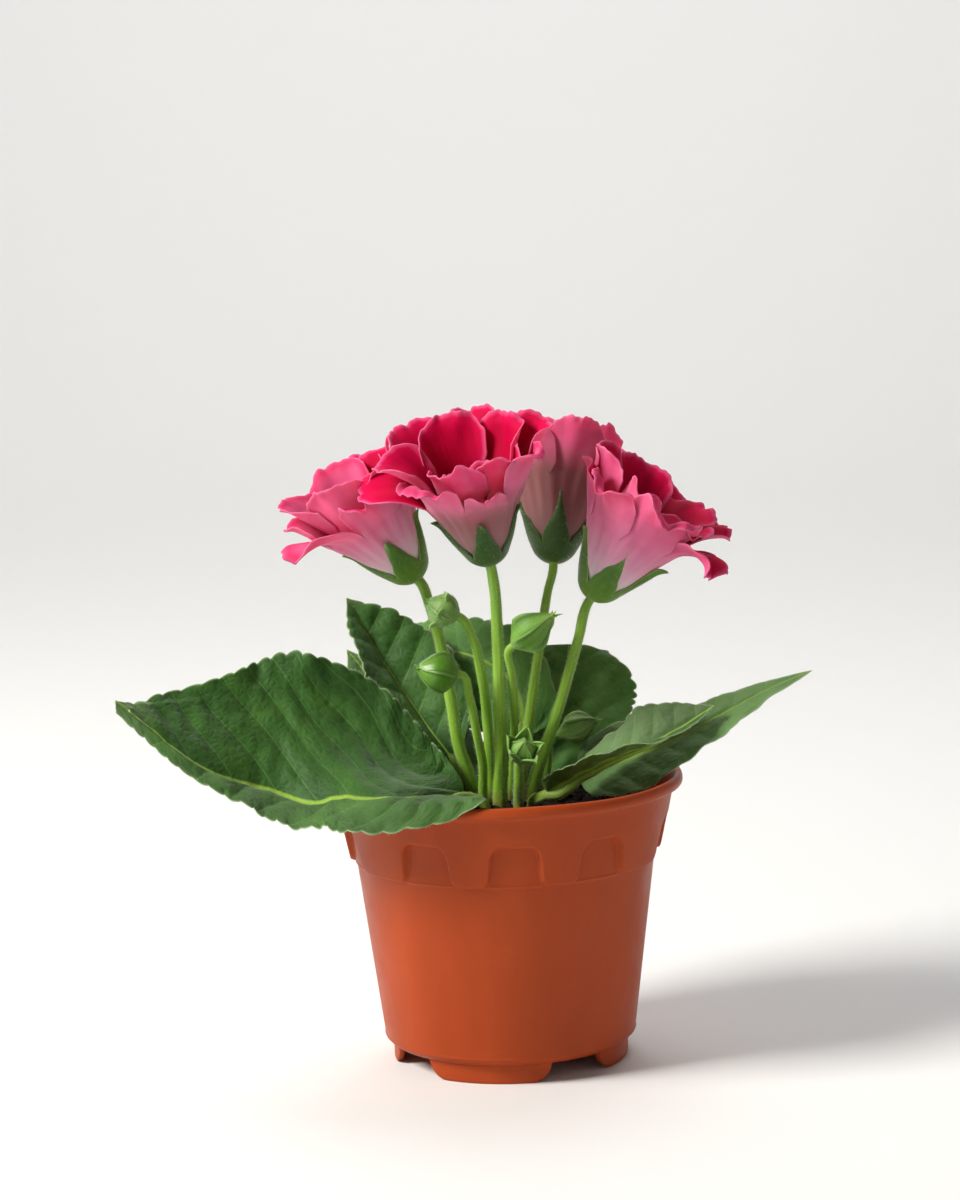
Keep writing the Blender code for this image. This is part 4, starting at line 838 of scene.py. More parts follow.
def toothed(grid, v, k, seed, leaf):
    # Rounded teeth with sharp notches, of uneven size, pushed out along the margin; gives the grid too as
    # the distances from its midrib and to its margin
    reach = np.concatenate([np.zeros((len(v), 1)),
                            np.cumsum(np.linalg.norm(np.diff(grid, axis=1), axis=2), 1)], 1)
    p = toothLook
    (slow, slowBeat), (quick, quickBeat) = p["drift"]
    beat = v * leaf["scallops"] + slow * np.sin(slowBeat * v + seed + k)
    beat = beat + quick * np.sin(quickBeat * v + 2 * k)
    tooth = np.abs(np.sin(math.pi * beat)) ** p["sharp"]
    tooth = tooth * (p["deep"] + p["uneven"] * np.sin(5 * v * math.pi + seed))
    tooth = tooth[:, None] * np.clip(reach[:, -1:] / p["fullAt"], p["least"], 1.0)
    tooth = tooth * smoothStep(1 - v, 0.0, p["tipBare"])[:, None] * leaf["tooth"]
    ease = smoothStep(np.linspace(0, 1, grid.shape[1]), p["rootedAt"], 1.0)[None] * tooth
    grid = grid + unit(grid[:, -1] - grid[:, -4])[:, None] * ease[..., None]
    reach = reach + ease
    return grid, reach, reach[:, -1:] - reach


def quilted(reach, along, share, wide, q, seed, leaf):
    # How far the blade swells between its veins, with small cross veins, soft unevenness and a wavy margin
    p = quiltLook
    near = np.abs(q - np.round(q)) * 2
    pillow = (1 - (1 - near) ** p["round"]) * smoothStep(share, 0.02, p["flank"])
    pillow = pillow * (1 - p["marginFlat"] * smoothStep(share, p["marginFrom"], 1.0))
    cross = 1 - np.abs(np.sin(math.pi * np.abs(reach) / p["crossPitch"] + 1.3 * np.floor(q)))
    lift = leaf["quilt"] * (pillow - p["rimDown"] * smoothStep(1 - share, 0.9, 1.0))
    lift = lift - p["cross"] * leaf["quilt"] * cross * pillow
    place = np.stack([reach, along], -1)
    (soft, softPitch), (fine, finePitch) = p["soft"]
    lift += soft * softNoise(place, softPitch, seed) + fine * softNoise(place, finePitch, seed + 1)
    wavy = np.sin(2 * math.pi * along / p["wavePitch"] + np.where(reach < 0, 1.7, 0.0))
    return (lift + p["wave"] * smoothStep(share, 0.75, 1.0) * wavy) * smoothStep(wide, 1.0, 9.0)


def makeLeaf(name, leaf):
    # The blade as one toothed and quilted sheet with a thickness, its petiole and midrib as a stem, and hairs
    stemPath, length, s, us, halves, tip = coarseBlade(leaf)
    rows, cols = leaf["fine"]
    extra = leaf["tip"] / length
    v = np.linspace(0, 1, rows)
    seed = sum(ord(letter) for letter in name)
    grids = [fineHalf(half, tip, trim, s, us, v, extra, cols) for half, trim in zip(halves, leaf["trim"])]
    if "ribShift" in leaf:
        grids = moveRib(grids, v, leaf)
    right, left = (toothed(grid, v, k, seed, leaf) for k, grid in enumerate(grids))
    points, reach, margin = (np.concatenate([sign * there[:, :0:-1], here], 1)
                             for sign, there, here in zip((1, -1, 1), left, right))
    along = (v * (1 + extra) * length)[:, None] + 0 * reach
    wide = np.maximum(np.abs(reach) + margin, 0.5)
    # Lateral veins leave the midrib at an even spacing and bow toward the tip
    spacing = length / leaf["veins"]
    bow = np.abs(reach) * leaf["bow"] + np.abs(reach) ** 2 * quiltLook["arch"]
    leftLater, allLater = quiltLook["offset"]
    q = (along - bow) / spacing + np.where(reach < 0, leftLater, 0.0) + allLater
    way = unit(np.cross(np.gradient(points, axis=1), np.gradient(points, axis=0)))
    points = points + way * quilted(reach, along, np.abs(reach) / wide, wide, q, seed, leaf)[..., None]
    ribWidth = leaf["rib"] * np.interp(v, ribLook["places"], ribLook["widths"])[:, None]
    # Painted sheen: a pale tint over each half, as much as the leaf gives, and over the tip
    frostRight, frostLeft = leaf["frost"]
    frost = frostLeft + (frostRight - frostLeft) * smoothStep(reach, -2.0, 2.0)
    frost = np.maximum(frost, leaf["paleTip"] * smoothStep(v * (1 + extra), 0.95, 1.03)[:, None])
    sheet = shell(points.reshape(-1, 3), [(gridFaces(rows, 2 * cols - 1), 0)], frost=frost.reshape(-1, 1),
                  vein=np.stack([q + 40, spacing + 0 * q, np.abs(reach) / ribWidth], -1).reshape(-1, 3),
                  blade=np.stack([reach, along, margin], -1).reshape(-1, 3))
    body = thicken(sheet, leaf["thickness"] * (0.55 + 0.45 * smoothStep(margin, 0.0, 3.0)))
    # Petiole, running on as the raised midrib under the blade
    ribLine, ribWay = points[:, cols - 1], way[:, cols - 1]
    p = petioleLook
    pick = np.linspace(6, rows - 4, 46).astype(int)
    ribRadius = np.interp(np.linspace(0, 1, 46), p["places"], p["rib"])
    path = np.vstack([stemPath, ribLine[pick] - ribWay[pick] * (p["sunk"] + ribRadius * p["deep"])[:, None]])
    radius = np.concatenate([np.linspace(*p["foot"], len(stemPath)), ribRadius])
    path = evenPath(path[::2], 90)
    radius = np.interp(np.linspace(0, 1, 90), np.linspace(0, 1, len(radius)), radius)
    petiole = stemShell(path, radius, 14, seed)
    # Hairs stand off both margins, then off the petiole
    count = leaf["hairs"]
    rng = np.random.default_rng(seed)
    row = rng.integers(2, rows - 3, count)
    edge = np.where(rng.uniform(size=count) < 0.5, 0, 2 * cols - 2)
    foot, upward = points[row, edge], way[row, edge]
    out = unit(foot - points[row, np.where(edge == 0, 1, edge - 1)])
    out = out + upward * rng.normal(0, 0.6, (count, 1)) + rng.normal(0, 0.35, (count, 3))
    fuzz = hairs(foot - upward * 0.2, out, rng.uniform(*leaf["fuzz"], count), hairLook["leaf"], seed)
    down = stemHairs(path[:p["haired"]], radius[:p["haired"]], p["hairs"], seed, p["length"])
    shells = [body, recolored(petiole, 2), recolored(fuzz, 3), recolored(down, 3)]
    looks = [finishes[key] for key in (leaf["finish"], leaf["under"], "petiole", "hair")]
    addPiece(name + "_blade", shells, looks, [name])


def stemShell(path, radius, sides, seed):
    # A round fleshy stem along a path, a little uneven; marks give its height and its skin's place
    side, other = carriedFrames(path, stemLook["first"])
    turn = np.linspace(0, 2 * math.pi, sides, endpoint=False)
    around = np.stack([np.cos(turn), np.sin(turn)], -1)
    run = pathRun(path)

    def skin(across, along):
        return np.concatenate([np.broadcast_to(around * across, (len(path), sides, 2)),
                               np.broadcast_to((run * along)[:, None, None], (len(path), sides, 1))], -1)

    uneven = stemLook["uneven"] * softNoise(skin(*stemLook["bumps"]), 2.0, seed)
    r = radius[:, None] * (1 + uneven + stemLook["fluted"] * np.cos(5 * turn)[None])
    rings = path[:, None] + r[..., None] * (np.cos(turn)[None, :, None] * side[:, None]
                                            + np.sin(turn)[None, :, None] * other[:, None])
    height = np.clip((path[:, 2] - stemLook["low"]) / stemLook["tall"], 0, 1)[:, None] + np.zeros(sides)[None]
    plain = 0 * height
    return closedTube(rings, stem=np.stack([height, plain, plain], -1), streak=skin(*stemLook["streaks"]))


def stemHairs(path, radius, count, seed, length):
    # Hairs standing off a stem all round, a little random in direction, none inside the soil
    rng = np.random.default_rng(seed + 3)
    side, other = carriedFrames(path, stemLook["first"])
    above = np.nonzero(path[:, 2] > soilShape["top"] + 1.5)[0]
    at = rng.uniform(above[0], above[-1] - 0.01, count)
    i = at.astype(int)
    part = (at - i)[:, None]
    turn = rng.uniform(0, 2 * math.pi, count)[:, None]
    normal = unit(np.cos(turn) * side[i] + np.sin(turn) * other[i])
    middle = path[i] * (1 - part) + path[i + 1] * part
    feet = middle + normal * radius[i][:, None] * 0.99
    way = normal + rng.normal(0, hairLook["scatter"], (count, 3))
    return hairs(feet, way, rng.uniform(*length, count), hairLook["stem"], seed)


for leafName, leaf in leaves.items():
    makeLeaf(leafName, {**leafLook, **leaf})
print("leaves made")


# Blooms: rings of petals on a cup, with ruffled overlapping margins

def aim(base, axis, roll=0.0):
    # The turn that lays the z axis along the given one, and the place it starts from
    z = Vector(axis).normalized()
    spin = Vector((0, 0, 1)).rotation_difference(z).to_matrix() @ Matrix.Rotation(math.radians(roll), 3, "Z")
    return np.array(spin), np.array(base, float)


def petalRing(ring, place, seed):
    # A cup turned from its line, parting into lobes. Each lobe goes on from the cup's rim along a path whose
    # angle changes evenly to its end angle; waves across it grow toward the margin, and its margin rolls out
    spin, base = place
    lobes, c, cupRows, lobeRows = ring["lobes"], ring["columns"], ring["cupRows"], ring["lobeRows"]
    n, around = len(lobes), len(lobes) * c
    line = np.array(ring["line"], float)
    knots = np.concatenate([[0], np.cumsum(np.hypot(*np.diff(line, axis=0).T))])
    length = knots[-1]
    cup = throughCurve(line, knots, np.linspace(0, length, cupRows + 1))[1:]
    turn = 2 * math.pi * np.arange(around) / around
    rng = np.random.default_rng(seed)
    grow = smoothStep(np.linspace(0, 1, cupRows), 0.2, 1.0)[:, None]
    folds = ring["folds"] * (np.cos(n * turn) + 0.35 * np.cos(3 * n * turn + seed))[None]
    r = cup[:, 1:2] * (1 + folds * grow)
    far = np.linspace(0, length, cupRows + 1)[1:][:, None] + 0 * turn[None]
    inMiddle = 20.0
    points = [np.array([[0, 0, line[0, 0]]])]
    marks = [np.array([[0.0, inMiddle, ring["flush"]]])]
    streaks = [np.zeros((1, 3))]

    def add(r, angle, z, far, margin, flush):
        x, y = np.cos(angle) + 0 * far, np.sin(angle) + 0 * far
        points.append(np.stack([r * x, r * y, z + 0 * far], -1).reshape(-1, 3))
        marks.append(np.stack([far, margin + 0 * far, flush + 0 * far], -1).reshape(-1, 3))
        streaks.append(np.stack([ring["streaks"] * x, ring["streaks"] * y, far * 0.045], -1).reshape(-1, 3))

    add(r, turn, cup[:, 0:1], far, inMiddle, ring["flush"])
    j = np.arange(around)
    faces = [(np.stack([0 * j, 1 + (j + 1) % around, 1 + j], 1), 0), (gridFaces(cupRows, around, True, 1), 0)]
    count = 1 + cupRows * around
    start = math.atan2(line[-1, 1] - line[-2, 1], line[-1, 0] - line[-2, 0])
    u = np.linspace(-1, 1, c + 1)
    t = (np.arange(lobeRows) + 1.0)[:, None] / lobeRows
    for m, (size, end, twist, *extra) in enumerate(lobes):
        own = dict(ring, **(extra[0] if extra else {}))
        phase = rng.uniform(0, 2 * math.pi, 8)
        fringe = sum(deep * np.sin(often * u + shift) for (deep, often), shift in zip(ring["frills"], phase))
        outline = 1 - own["rounding"] * np.abs(u) ** 2.3 + fringe * ring["fringe"]
        tau = t * outline[None]
        endHere = math.radians(end) + 0.08 * np.sin(2.2 * u + phase[3])[None]
        phi = start + (endHere - start) * tau + math.radians(own["roll"]) * smoothStep(tau, 0.70, 1.0)
        step = size * outline[None] / lobeRows
        joint = (m * c + np.arange(c + 1)) % around
        rr = r[-1][joint][None] + np.cumsum(np.sin(phi) * step, 0)
        zz = cup[-1, 0] + np.cumsum(np.cos(phi) * step, 0)
        waves = math.pi * own["waves"] * u
        wave = own["ruffle"] * smoothStep(tau, 0.30, 1.05) ** 1.2 * (
            ring["broad"] * np.sin(waves + phase[4]) + ring["narrowWaves"] * np.sin(2.3 * waves + phase[5]))
        crinkle = own["crinkle"] * smoothStep(tau, 0.80, 1.0)
        crinkle = crinkle * np.sin(15 * u + phase[6] + 1.4 * np.sin(5 * u))
        crease = ring["crease"] * np.sin(7 * u + phase[7])[None] * np.clip(2 * tau, 0, 1)
        lap = ring["lap"] * u[None] * np.clip(2.5 * t, 0, 1)
        spoon = own["spoon"] * (u[None] ** 2 - 0.35) * np.clip(1.6 * tau, 0, 1)
        off = (wave + crinkle + crease * (ring["crinkle"] > 0) + lap - spoon) * smoothStep(t, 0.0, 0.25)
        rr, zz = np.maximum(rr + off * np.cos(phi), 0.5), zz - off * np.sin(phi)
        share = own["keep"] + (own["taper"] * own["keep"] - own["keep"]) * tau ** 2
        if ring["pointed"]:
            share = own["keep"] * (1 - tau ** own["narrow"]) + 0.02
        share = 1 + (share - 1) * np.clip(2.5 * t, 0, 1)
        angle = math.pi / n * (2 * m + 1 + u[None] * share) + math.radians(twist) * tau ** 2
        sideways = (1 - np.abs(u[None])) * rr * math.pi / n * share
        flush = ring["flush"] + (own["flush"] - ring["flush"]) * smoothStep(t, 0.0, 0.4)
        add(rr, angle, zz, length + size * tau, np.minimum(size * (outline[None] - tau), sideways), flush)
        lower, upper = 1 + (cupRows - 1) * around + joint, count + np.arange(c + 1)
        faces.append((np.stack([lower[:-1], lower[1:], upper[1:], upper[:-1]], 1), 0))
        faces.append((gridFaces(lobeRows, c + 1, False, count), 0))
        count += lobeRows * (c + 1)
    return shell(np.concatenate(points) @ spin.T + base, faces, lobe=np.concatenate(marks),
                 streak=np.concatenate(streaks))


# fringe and frills notch a lobe's margin, ruffle and waves bend it and roll turns it out; keep and taper set
# its width, lap its overlap, spoon its hollow and flush its depth of colour
ringLook = dict(folds=0.0, streaks=7.0, fringe=0.0, frills=((0.013, 8), (0.012, 15), (0.009, 33)), ruffle=0.0,
                waves=1.0, broad=0.75, narrowWaves=0.30, crinkle=0.0, crease=0.22, taper=1.0, lap=0.0,
                pointed=False, narrow=1.25, flush=0.0)
petalLooks = dict(
    outer=dict(ringLook, columns=44, cupRows=16, lobeRows=34, rounding=0.38, fringe=1.0, ruffle=2.5,
               waves=1.25, crinkle=0.42, keep=1.22, taper=0.82, lap=1.0, spoon=2.6, roll=28.0, folds=0.035,
               flush=0.25, wall=0.42, line=[(2.4, 0.05), (2.5, 1.6), (2.8, 3.0), (5, 5.8), (9, 8.7),
                                            (14, 11.0), (20, 13.4), (25, 16.0)]),
    inner=dict(ringLook, columns=44, cupRows=8, lobeRows=32, rounding=0.38, fringe=1.1, ruffle=2.4, waves=1.3,
               crinkle=0.42, keep=1.30, taper=0.85, lap=1.0, spoon=2.2, roll=30.0, flush=0.7, wall=0.36,
               line=[(5.2, 0.05), (5.3, 1.4), (5.6, 2.6), (9, 5.4), (15, 8.2), (22, 10.6), (28, 13.2)]),
    heart=dict(ringLook, columns=30, cupRows=5, lobeRows=20, rounding=0.34, fringe=1.0, ruffle=1.4, waves=1.2,
               crinkle=0.2, keep=1.1, taper=0.8, lap=0.8, spoon=1.2, roll=25.0, flush=2.0, wall=0.36,
               line=[(9.0, 0.05), (9.2, 1.2), (12, 2.6), (18, 4.4), (25, 6.4)]))
# Painted shade: how strongly a bloom's lower part is darkened, and how far along the petals it ends
bloomLook = dict(dusk=0.0, duskEnd=30, heart=[(9, 30, 8), (8, 44, 0), (9, 20, -8), (8, 36, 0)])
blooms = {
    # Each lobe: length, end angle, turn of its tip, and what it has of its own
    # Left bloom, leaning left and open to the upper left
    "bloom_1": dict(
        base=(-26.5, 7, 161.6), axis=(-0.56, -0.10, 0.81),
        outer=[(19, 40, 0), (21, 30, 4), (19, 30, 0, dict(flush=-1.0)),
               (19, 24, 0, dict(keep=1.30, roll=30.0, ruffle=1.8, flush=-1.1)),
               (20, 84, -26, dict(keep=1.05, spoon=1.0, roll=26.0, ruffle=2.6, waves=1.7, flush=-0.8)),
               (18, 40, -4, dict(roll=62.0, ruffle=2.8, waves=1.8, flush=-0.6)),
               (15, 38, 0, dict(roll=44.0, ruffle=2.2, waves=1.6, flush=-0.2))],
        inner=[(19, 40, 8), (20, 26, -6, dict(flush=-0.9)),
               (22, 20, 0, dict(keep=1.45, roll=20.0, ruffle=1.2, flush=-1.1)),
               (20, 8, 0, dict(keep=1.45, roll=22.0, ruffle=1.2, flush=-1.0)), (17, 34, -8)]),
    # Middle bloom, upright and leaning a little left and forward, with painted shade low down
    "bloom_2": dict(
        base=(-2.4, -14.5, 169.2), axis=(-0.18, -0.28, 0.94), dusk=0.85, duskEnd=38,
        outer=[(24, 44, 0), (25, 30, 6), (26, 40, 0, dict(keep=1.35, roll=14.0, ruffle=1.4)),
               (26, 112, -10, dict(roll=10.0, ruffle=1.5, spoon=0.5, keep=1.15)),
               (22, 44, 0, dict(roll=84.0, ruffle=2.4, waves=1.7, keep=1.15, taper=0.9, flush=-0.9)),
               (9, 34, 0, dict(roll=50.0, ruffle=1.4, keep=0.95, taper=0.7, flush=0.15)),
               (22, 26, 0, dict(roll=110.0, ruffle=1.4, keep=1.12, taper=0.8, flush=-0.9))],
        inner=[(20, 24, 8), (21, 20, -6, dict(roll=16.0, ruffle=1.8)),
               (23, 62, 0, dict(keep=1.05, spoon=4.5, roll=15.0, ruffle=1.6, flush=0.3)),
               (17, 18, 0, dict(keep=1.15, roll=24.0, spoon=3.2, flush=1.0)), (17, 18, -8, dict(flush=1.5))]),
    # The bloom behind, open away from the viewer, with painted shade low down
    "bloom_3": dict(
        base=(19, 19, 164.2), axis=(0.10, 0.42, 0.90), dusk=0.9, duskEnd=44,
        outer=[(20, 50, 0, dict(flush=0.1)), (20, 80, 4), (20, 62, 0), (20, 42, 0, dict(flush=0.05)),
               (22, 28, 0, dict(keep=1.35, roll=24.0, ruffle=1.6, flush=0.0)),
               (22, 22, 0, dict(keep=1.35, roll=10.0, ruffle=1.2, flush=0.0)),
               (16, 100, 0, dict(roll=15.0, ruffle=1.6))],
        inner=[(17, 40, 8), (18, 28, -6), (18, 30, 6), (18, 24, 0), (19, 28, -8)]),
    # Right bloom, leaning right
    "bloom_4": dict(
        base=(30.4, -7, 155.4), axis=(0.52, -0.08, 0.85),
        outer=[(24, 60, 0, dict(ruffle=2.8, crinkle=0.6)), (24, 44, 4, dict(ruffle=2.6)), (24, 24, 0),
               (19, 24, 0, dict(flush=0.3)),
               (21, 36, -4, dict(roll=84.0, ruffle=2.4, waves=1.6, flush=-0.9)),
               (26, 42, 0, dict(keep=1.25, taper=0.95, roll=88.0, ruffle=2.8, waves=1.7, flush=-1.0)),
               (24, 112, -9, dict(roll=20.0, ruffle=3.0, waves=1.9, keep=1.15, crinkle=0.7, flush=0.9))],
        inner=[(21, 58, 8, dict(crinkle=0.6)), (22, 26, -6), (23, 14, 6),
               (20, 14, 0, dict(keep=0.85, spoon=4.0, roll=60.0, flush=-0.8)),
               (19, 60, -8, dict(crinkle=0.6))]),
}


def makeBloom(name, bloom, seed):
    # Three rings on one axis; a mark lays painted shade, dusky brown, on the lower part of a bloom that
    # stands behind others
    shells = []
    for number, (key, look) in enumerate(petalLooks.items()):
        sheet = petalRing(dict(look, lobes=bloom[key]), aim(bloom["base"], bloom["axis"]), seed * 10 + number)
        # Painted shade, full low on the bloom and gone by its end length along the petals
        low = 1 - smoothStep(sheet["marks"]["lobe"][:, 0], bloom["duskEnd"] - 14, bloom["duskEnd"])
        sheet["marks"]["dusk"] = np.stack([bloom["dusk"] * low, 0 * low, 0 * low], -1)
        shells.append(thicken(sheet, look["wall"]))
    addPiece(name + "_petals", shells, [finishes["outside"], finishes["inside"]], [name])


for number, (bloomName, bloom) in enumerate(blooms.items()):
    makeBloom(bloomName, {**bloomLook, **bloom}, number + 1)
print("blooms made")


# Stalks, each with the cup of five pointed sepals at its top

stalks = {
    "stalk_1": dict(
        path=[(-9.5, 1.5), (-11.4, 2, 95), (-14.4, 2, 104.5), (-16.4, 2.4, 118), (-18.2, 2.8, 130),
              (-20.6, 4.2, 144), (-23.4, 6, 154.5)], foot=2.3, top=1.7,
        sepals=[(13, 24, 0), (12, 26, 0), (14, 20, 0), (12, 34, 0), (12, 24, 0)]),
    "stalk_2": dict(
        path=[(-1.5, -7), (-0.8, -8.5, 105), (-0.6, -10.5, 127), (-0.8, -12.4, 150),
              (-1.3, -13.6, 162)], foot=2.6, top=1.7,
        sepals=[(13, 34, 0), (12, 38, 0), (13, 28, 0), (13, 32, 0), (12, 26, 0)]),
    "stalk_3": dict(
        path=[(5.8, 5.2), (7.4, 7.5, 102), (9.8, 10.5, 116), (13, 14.5, 134), (17.2, 18, 156)], foot=2.1,
        top=1.4, sepals=[(12, 24, 0), (12, 30, 0), (11, 26, 0), (12, 20, 0), (11, 30, 0)]),
    "stalk_4": dict(
        path=[(8.4, -3.5), (10.2, -3.8, 94), (13.6, -4.4, 104), (18.3, -5.4, 117), (22.6, -6.2, 130.5),
              (26.6, -7, 144)], foot=2.2, top=1.6,
        sepals=[(14, 24, 0), (12, 62, 0), (13, 28, 0), (14, 20, 0), (14, 34, 0)]),
}
sepalLook = dict(ringLook, columns=16, cupRows=10, lobeRows=24, rounding=0.15, keep=0.84, spoon=1.0,
                 roll=26.0, pointed=True, narrow=0.92, wall=0.6, longest=27, pale=0.5, keel=0.25,
                 line=[(0, 0.05), (0.1, 1.7), (0.5, 3.1), (1.8, 5.2), (3.6, 6.9), (5.2, 7.75)])
stalkLook = dict(longer=5.4, closer=12.0, below=2.5, into=1.5, shaded=0.8, hairs=1500, length=(0.4, 1.1),
                 tufts=500, tuftLength=(0.4, 1.0), scatter=0.4, middle=8)


def sepalCup(look, lobes, place, seed, shaded=0.0):
    # A ring of sepals, pale along their margins and darker along their keels, and all over darker with
    # painted shade when shaded is given: its sheet, and its closed shell
    sheet = petalRing(dict(look, lobes=lobes), place, seed)
    far, margin = sheet["marks"].pop("lobe").T[:2]
    keel = look["keel"] * (1 - smoothStep(np.abs(margin - 3.4), 0.0, 1.4))
    pale = look["pale"] - look["pale"] * smoothStep(margin, 0.0, 0.5)
    sheet["marks"]["stem"] = np.stack([far / look["longest"], pale, np.maximum(keel, shaded)], -1)
    return sheet, thicken(sheet, look["wall"], back=0)


def downOn(points, middle, count, scatter, length, seed):
    # Short hairs at points picked at random, standing away from the middle
    rng = np.random.default_rng(seed)
    feet = points[rng.integers(0, len(points), count)]
    way = unit(feet - middle) + rng.normal(0, scatter, (count, 3))
    return hairs(feet, way, rng.uniform(*length, count), hairLook["sepal"], seed)


def makeStalk(name, stalk, bloom, seed):
    # The stem runs from the soil into the bloom's foot, and the sepals stand round that
    look = stalkLook
    spin, base = aim(bloom["base"], bloom["axis"], 20)
    axis = unit(np.array(bloom["axis"], float))
    top = [tuple(base - axis * look["below"]), tuple(base + axis * look["into"])]
    path = evenPath(rooted(stalk["path"]) + top, 90)
    radius = stalk["foot"] + (stalk["top"] - stalk["foot"]) * np.linspace(0, 1, 90) ** 0.8
    stem = stemShell(path, radius, 20, seed)
    lobes = [(size + look["longer"], end - look["closer"], turn) for size, end, turn in stalk["sepals"]]
    # A bloom that has painted shade gets painted shade over its calyx too
    sheet, calyx = sepalCup(sepalLook, lobes, (spin, base), seed, look["shaded"] * ("dusk" in bloom))
    fuzz = stemHairs(path, radius, look["hairs"], seed, look["length"])
    tufts = downOn(sheet["points"][1:], base + axis * look["middle"], look["tufts"], look["scatter"],
                   look["tuftLength"], seed)
    shells = [stem, recolored(calyx, 1), recolored(fuzz, 2), recolored(tufts, 2)]
    addPiece(name + "_stem", shells, [finishes[key] for key in ("stalk", "sepal", "hair")], [name])


for number, (stalkName, stalk) in enumerate(stalks.items()):
    makeStalk(stalkName, stalk, blooms[stalkName.replace("stalk", "bloom")], 40 + number)
print("stalks made")


# Buds: a swollen body wrapped in five sepals, whose edges meet in ridges and part in a star at the tip

buds = {
    # Pale downy bud in front of the left stalk, seen from behind
    "bud_1": dict(path=[(-4.2, -0.5), (-4.4, -2, 104), (-5.2, -4.5, 120), (-6.6, -7.5, 133),
                        (-8.8, -9.6, 143.5), (-12.6, -11.4, 151)],
                  axis=(-0.80, 0.0, 0.42), length=11, radius=5.6, ridge=0.10, tips=1.4, stem=1.8, spin=10,
                  finish="budPale", down=900,
                  star=[(4.5, 40, 0), (4.0, 60, 0), (4.5, 50, 10), (4.0, 44, 0), (4.5, 62, -10)]),
    # Round shining bud pointing left
    "bud_2": dict(path=[(-7.2, -5), (-6.9, -8.5, 101), (-8.6, -12, 113), (-10.6, -15, 125.5),
                        (-12.8, -17, 133)],
                  axis=(-0.93, -0.30, 0.22), length=14.0, radius=6.2, ridge=0.20, tips=2.0, stem=1.6, spin=30,
                  finish="budShining", down=200),
    # Angular bud pointing right
    "bud_3": dict(path=[(2.8, -1.0), (3.8, -3.5, 108), (4.2, -7.5, 122), (3.6, -12, 133),
                        (3.2, -15.0, 141)],
                  axis=(0.76, -0.25, 0.60), length=17.5, radius=4.6, ridge=0.62, tips=3.6, stem=1.5, spin=-14,
                  finish="budGreen", down=500),
    # Small opening bud low in front
    "bud_4": dict(path=[(4.6, -14), (4.9, -17.4, 96), (5.2, -19.5, 104.0)],
                  axis=(0.20, -0.62, 0.76), length=8.6, radius=4.0, ridge=0.40, tips=0.8, stem=1.8, spin=50,
                  finish="budGreen", down=250,
                  star=[(5.6, 34, 0), (5.0, 16, 0), (5.2, 24, 0), (6.0, 52, 0), (5.0, 20, 0)]),
    # Low bud half behind the right stalk
    "bud_5": dict(path=[(14, 8), (15.0, 7.6, 97), (17.6, 6.8, 107)],
                  axis=(0.92, -0.15, 0.36), length=14, radius=3.7, ridge=0.60, tips=3.0, stem=1.5, spin=20,
                  finish="budPale", down=350),
}
budLook = dict(neck=2.2, stemTaper=0.15, sunk=0.6, horn=0.62, hornTip=0.06, hornStart=0.93, hornOut=0.45,
               scatter=0.35, down=(0.3, 0.8), hairs=600, length=(0.3, 0.9))
budSwell = dict(places=[0, 0.06, 0.22, 0.42, 0.62, 0.80, 0.92, 1.0],
                widths=[0.55, 0.88, 1.0, 0.90, 0.58, 0.30, 0.09])
starLook = dict(ringLook, columns=14, cupRows=8, lobeRows=18, rounding=0.15, keep=1.30, spoon=1.1,
                roll=10.0, pointed=True, wall=0.5, longest=14, pale=0.6, keel=0.0,
                line=[(-0.6, 0.05), (-0.5, 1.6), (0.4, 3.0), (1.8, 4.1), (3.2, 4.7)])


def crestedBody(start, axis, bud):
    # Swollen body: radius by height along the axis, times a crest of ridges where five sepals' edges meet
    a = unit(np.cross(axis, (0.1, 1.0, 0.3)))
    b = np.cross(axis, a)
    t = np.linspace(0, 1, 44)[:, None]
    turn = np.linspace(0, 2 * math.pi, 90, endpoint=False)[None]
    beat = 2.5 * (turn - math.radians(bud["spin"]) - 0.22 * np.sin(2.6 * t))
    crest = (1 - np.abs(np.sin(beat))) ** 1.8
    valley = np.exp(-((np.abs(np.sin(beat)) - 0.30) / 0.12) ** 2)
    widths = [bud["stem"] / bud["radius"] * 0.9] + budSwell["widths"]
    r = throughCurve(widths, budSwell["places"], t.ravel())[:, None] * bud["radius"]
    r = r * (1 + (bud["ridge"] * crest - 0.05 * valley) * smoothStep(t, 0.05, 0.35))
    wave = 0.35 * np.sin(9 * t + 2.0 * np.round(beat / math.pi)) * crest * smoothStep(t, 0.2, 0.6)
    circle = np.cos(turn)[..., None] * a + np.sin(turn)[..., None] * b
    rings = start + (r + wave)[..., None] * circle + (t * bud["length"])[..., None] * axis
    # The mark pales the ridges and darkens the valley beside each one: painted shade in the creases
    mark = np.stack([t + 0 * turn, crest ** 4 * 0.30 * smoothStep(t, 0.05, 0.3),
                     0.7 * valley * smoothStep(t, 0.1, 0.5)], -1)
    streak = np.stack([3 * np.cos(turn) + 0 * t, 3 * np.sin(turn) + 0 * t, r * 0.1 + 0 * turn], -1)
    return closedTube(rings, stem=mark, streak=streak), rings, a, b


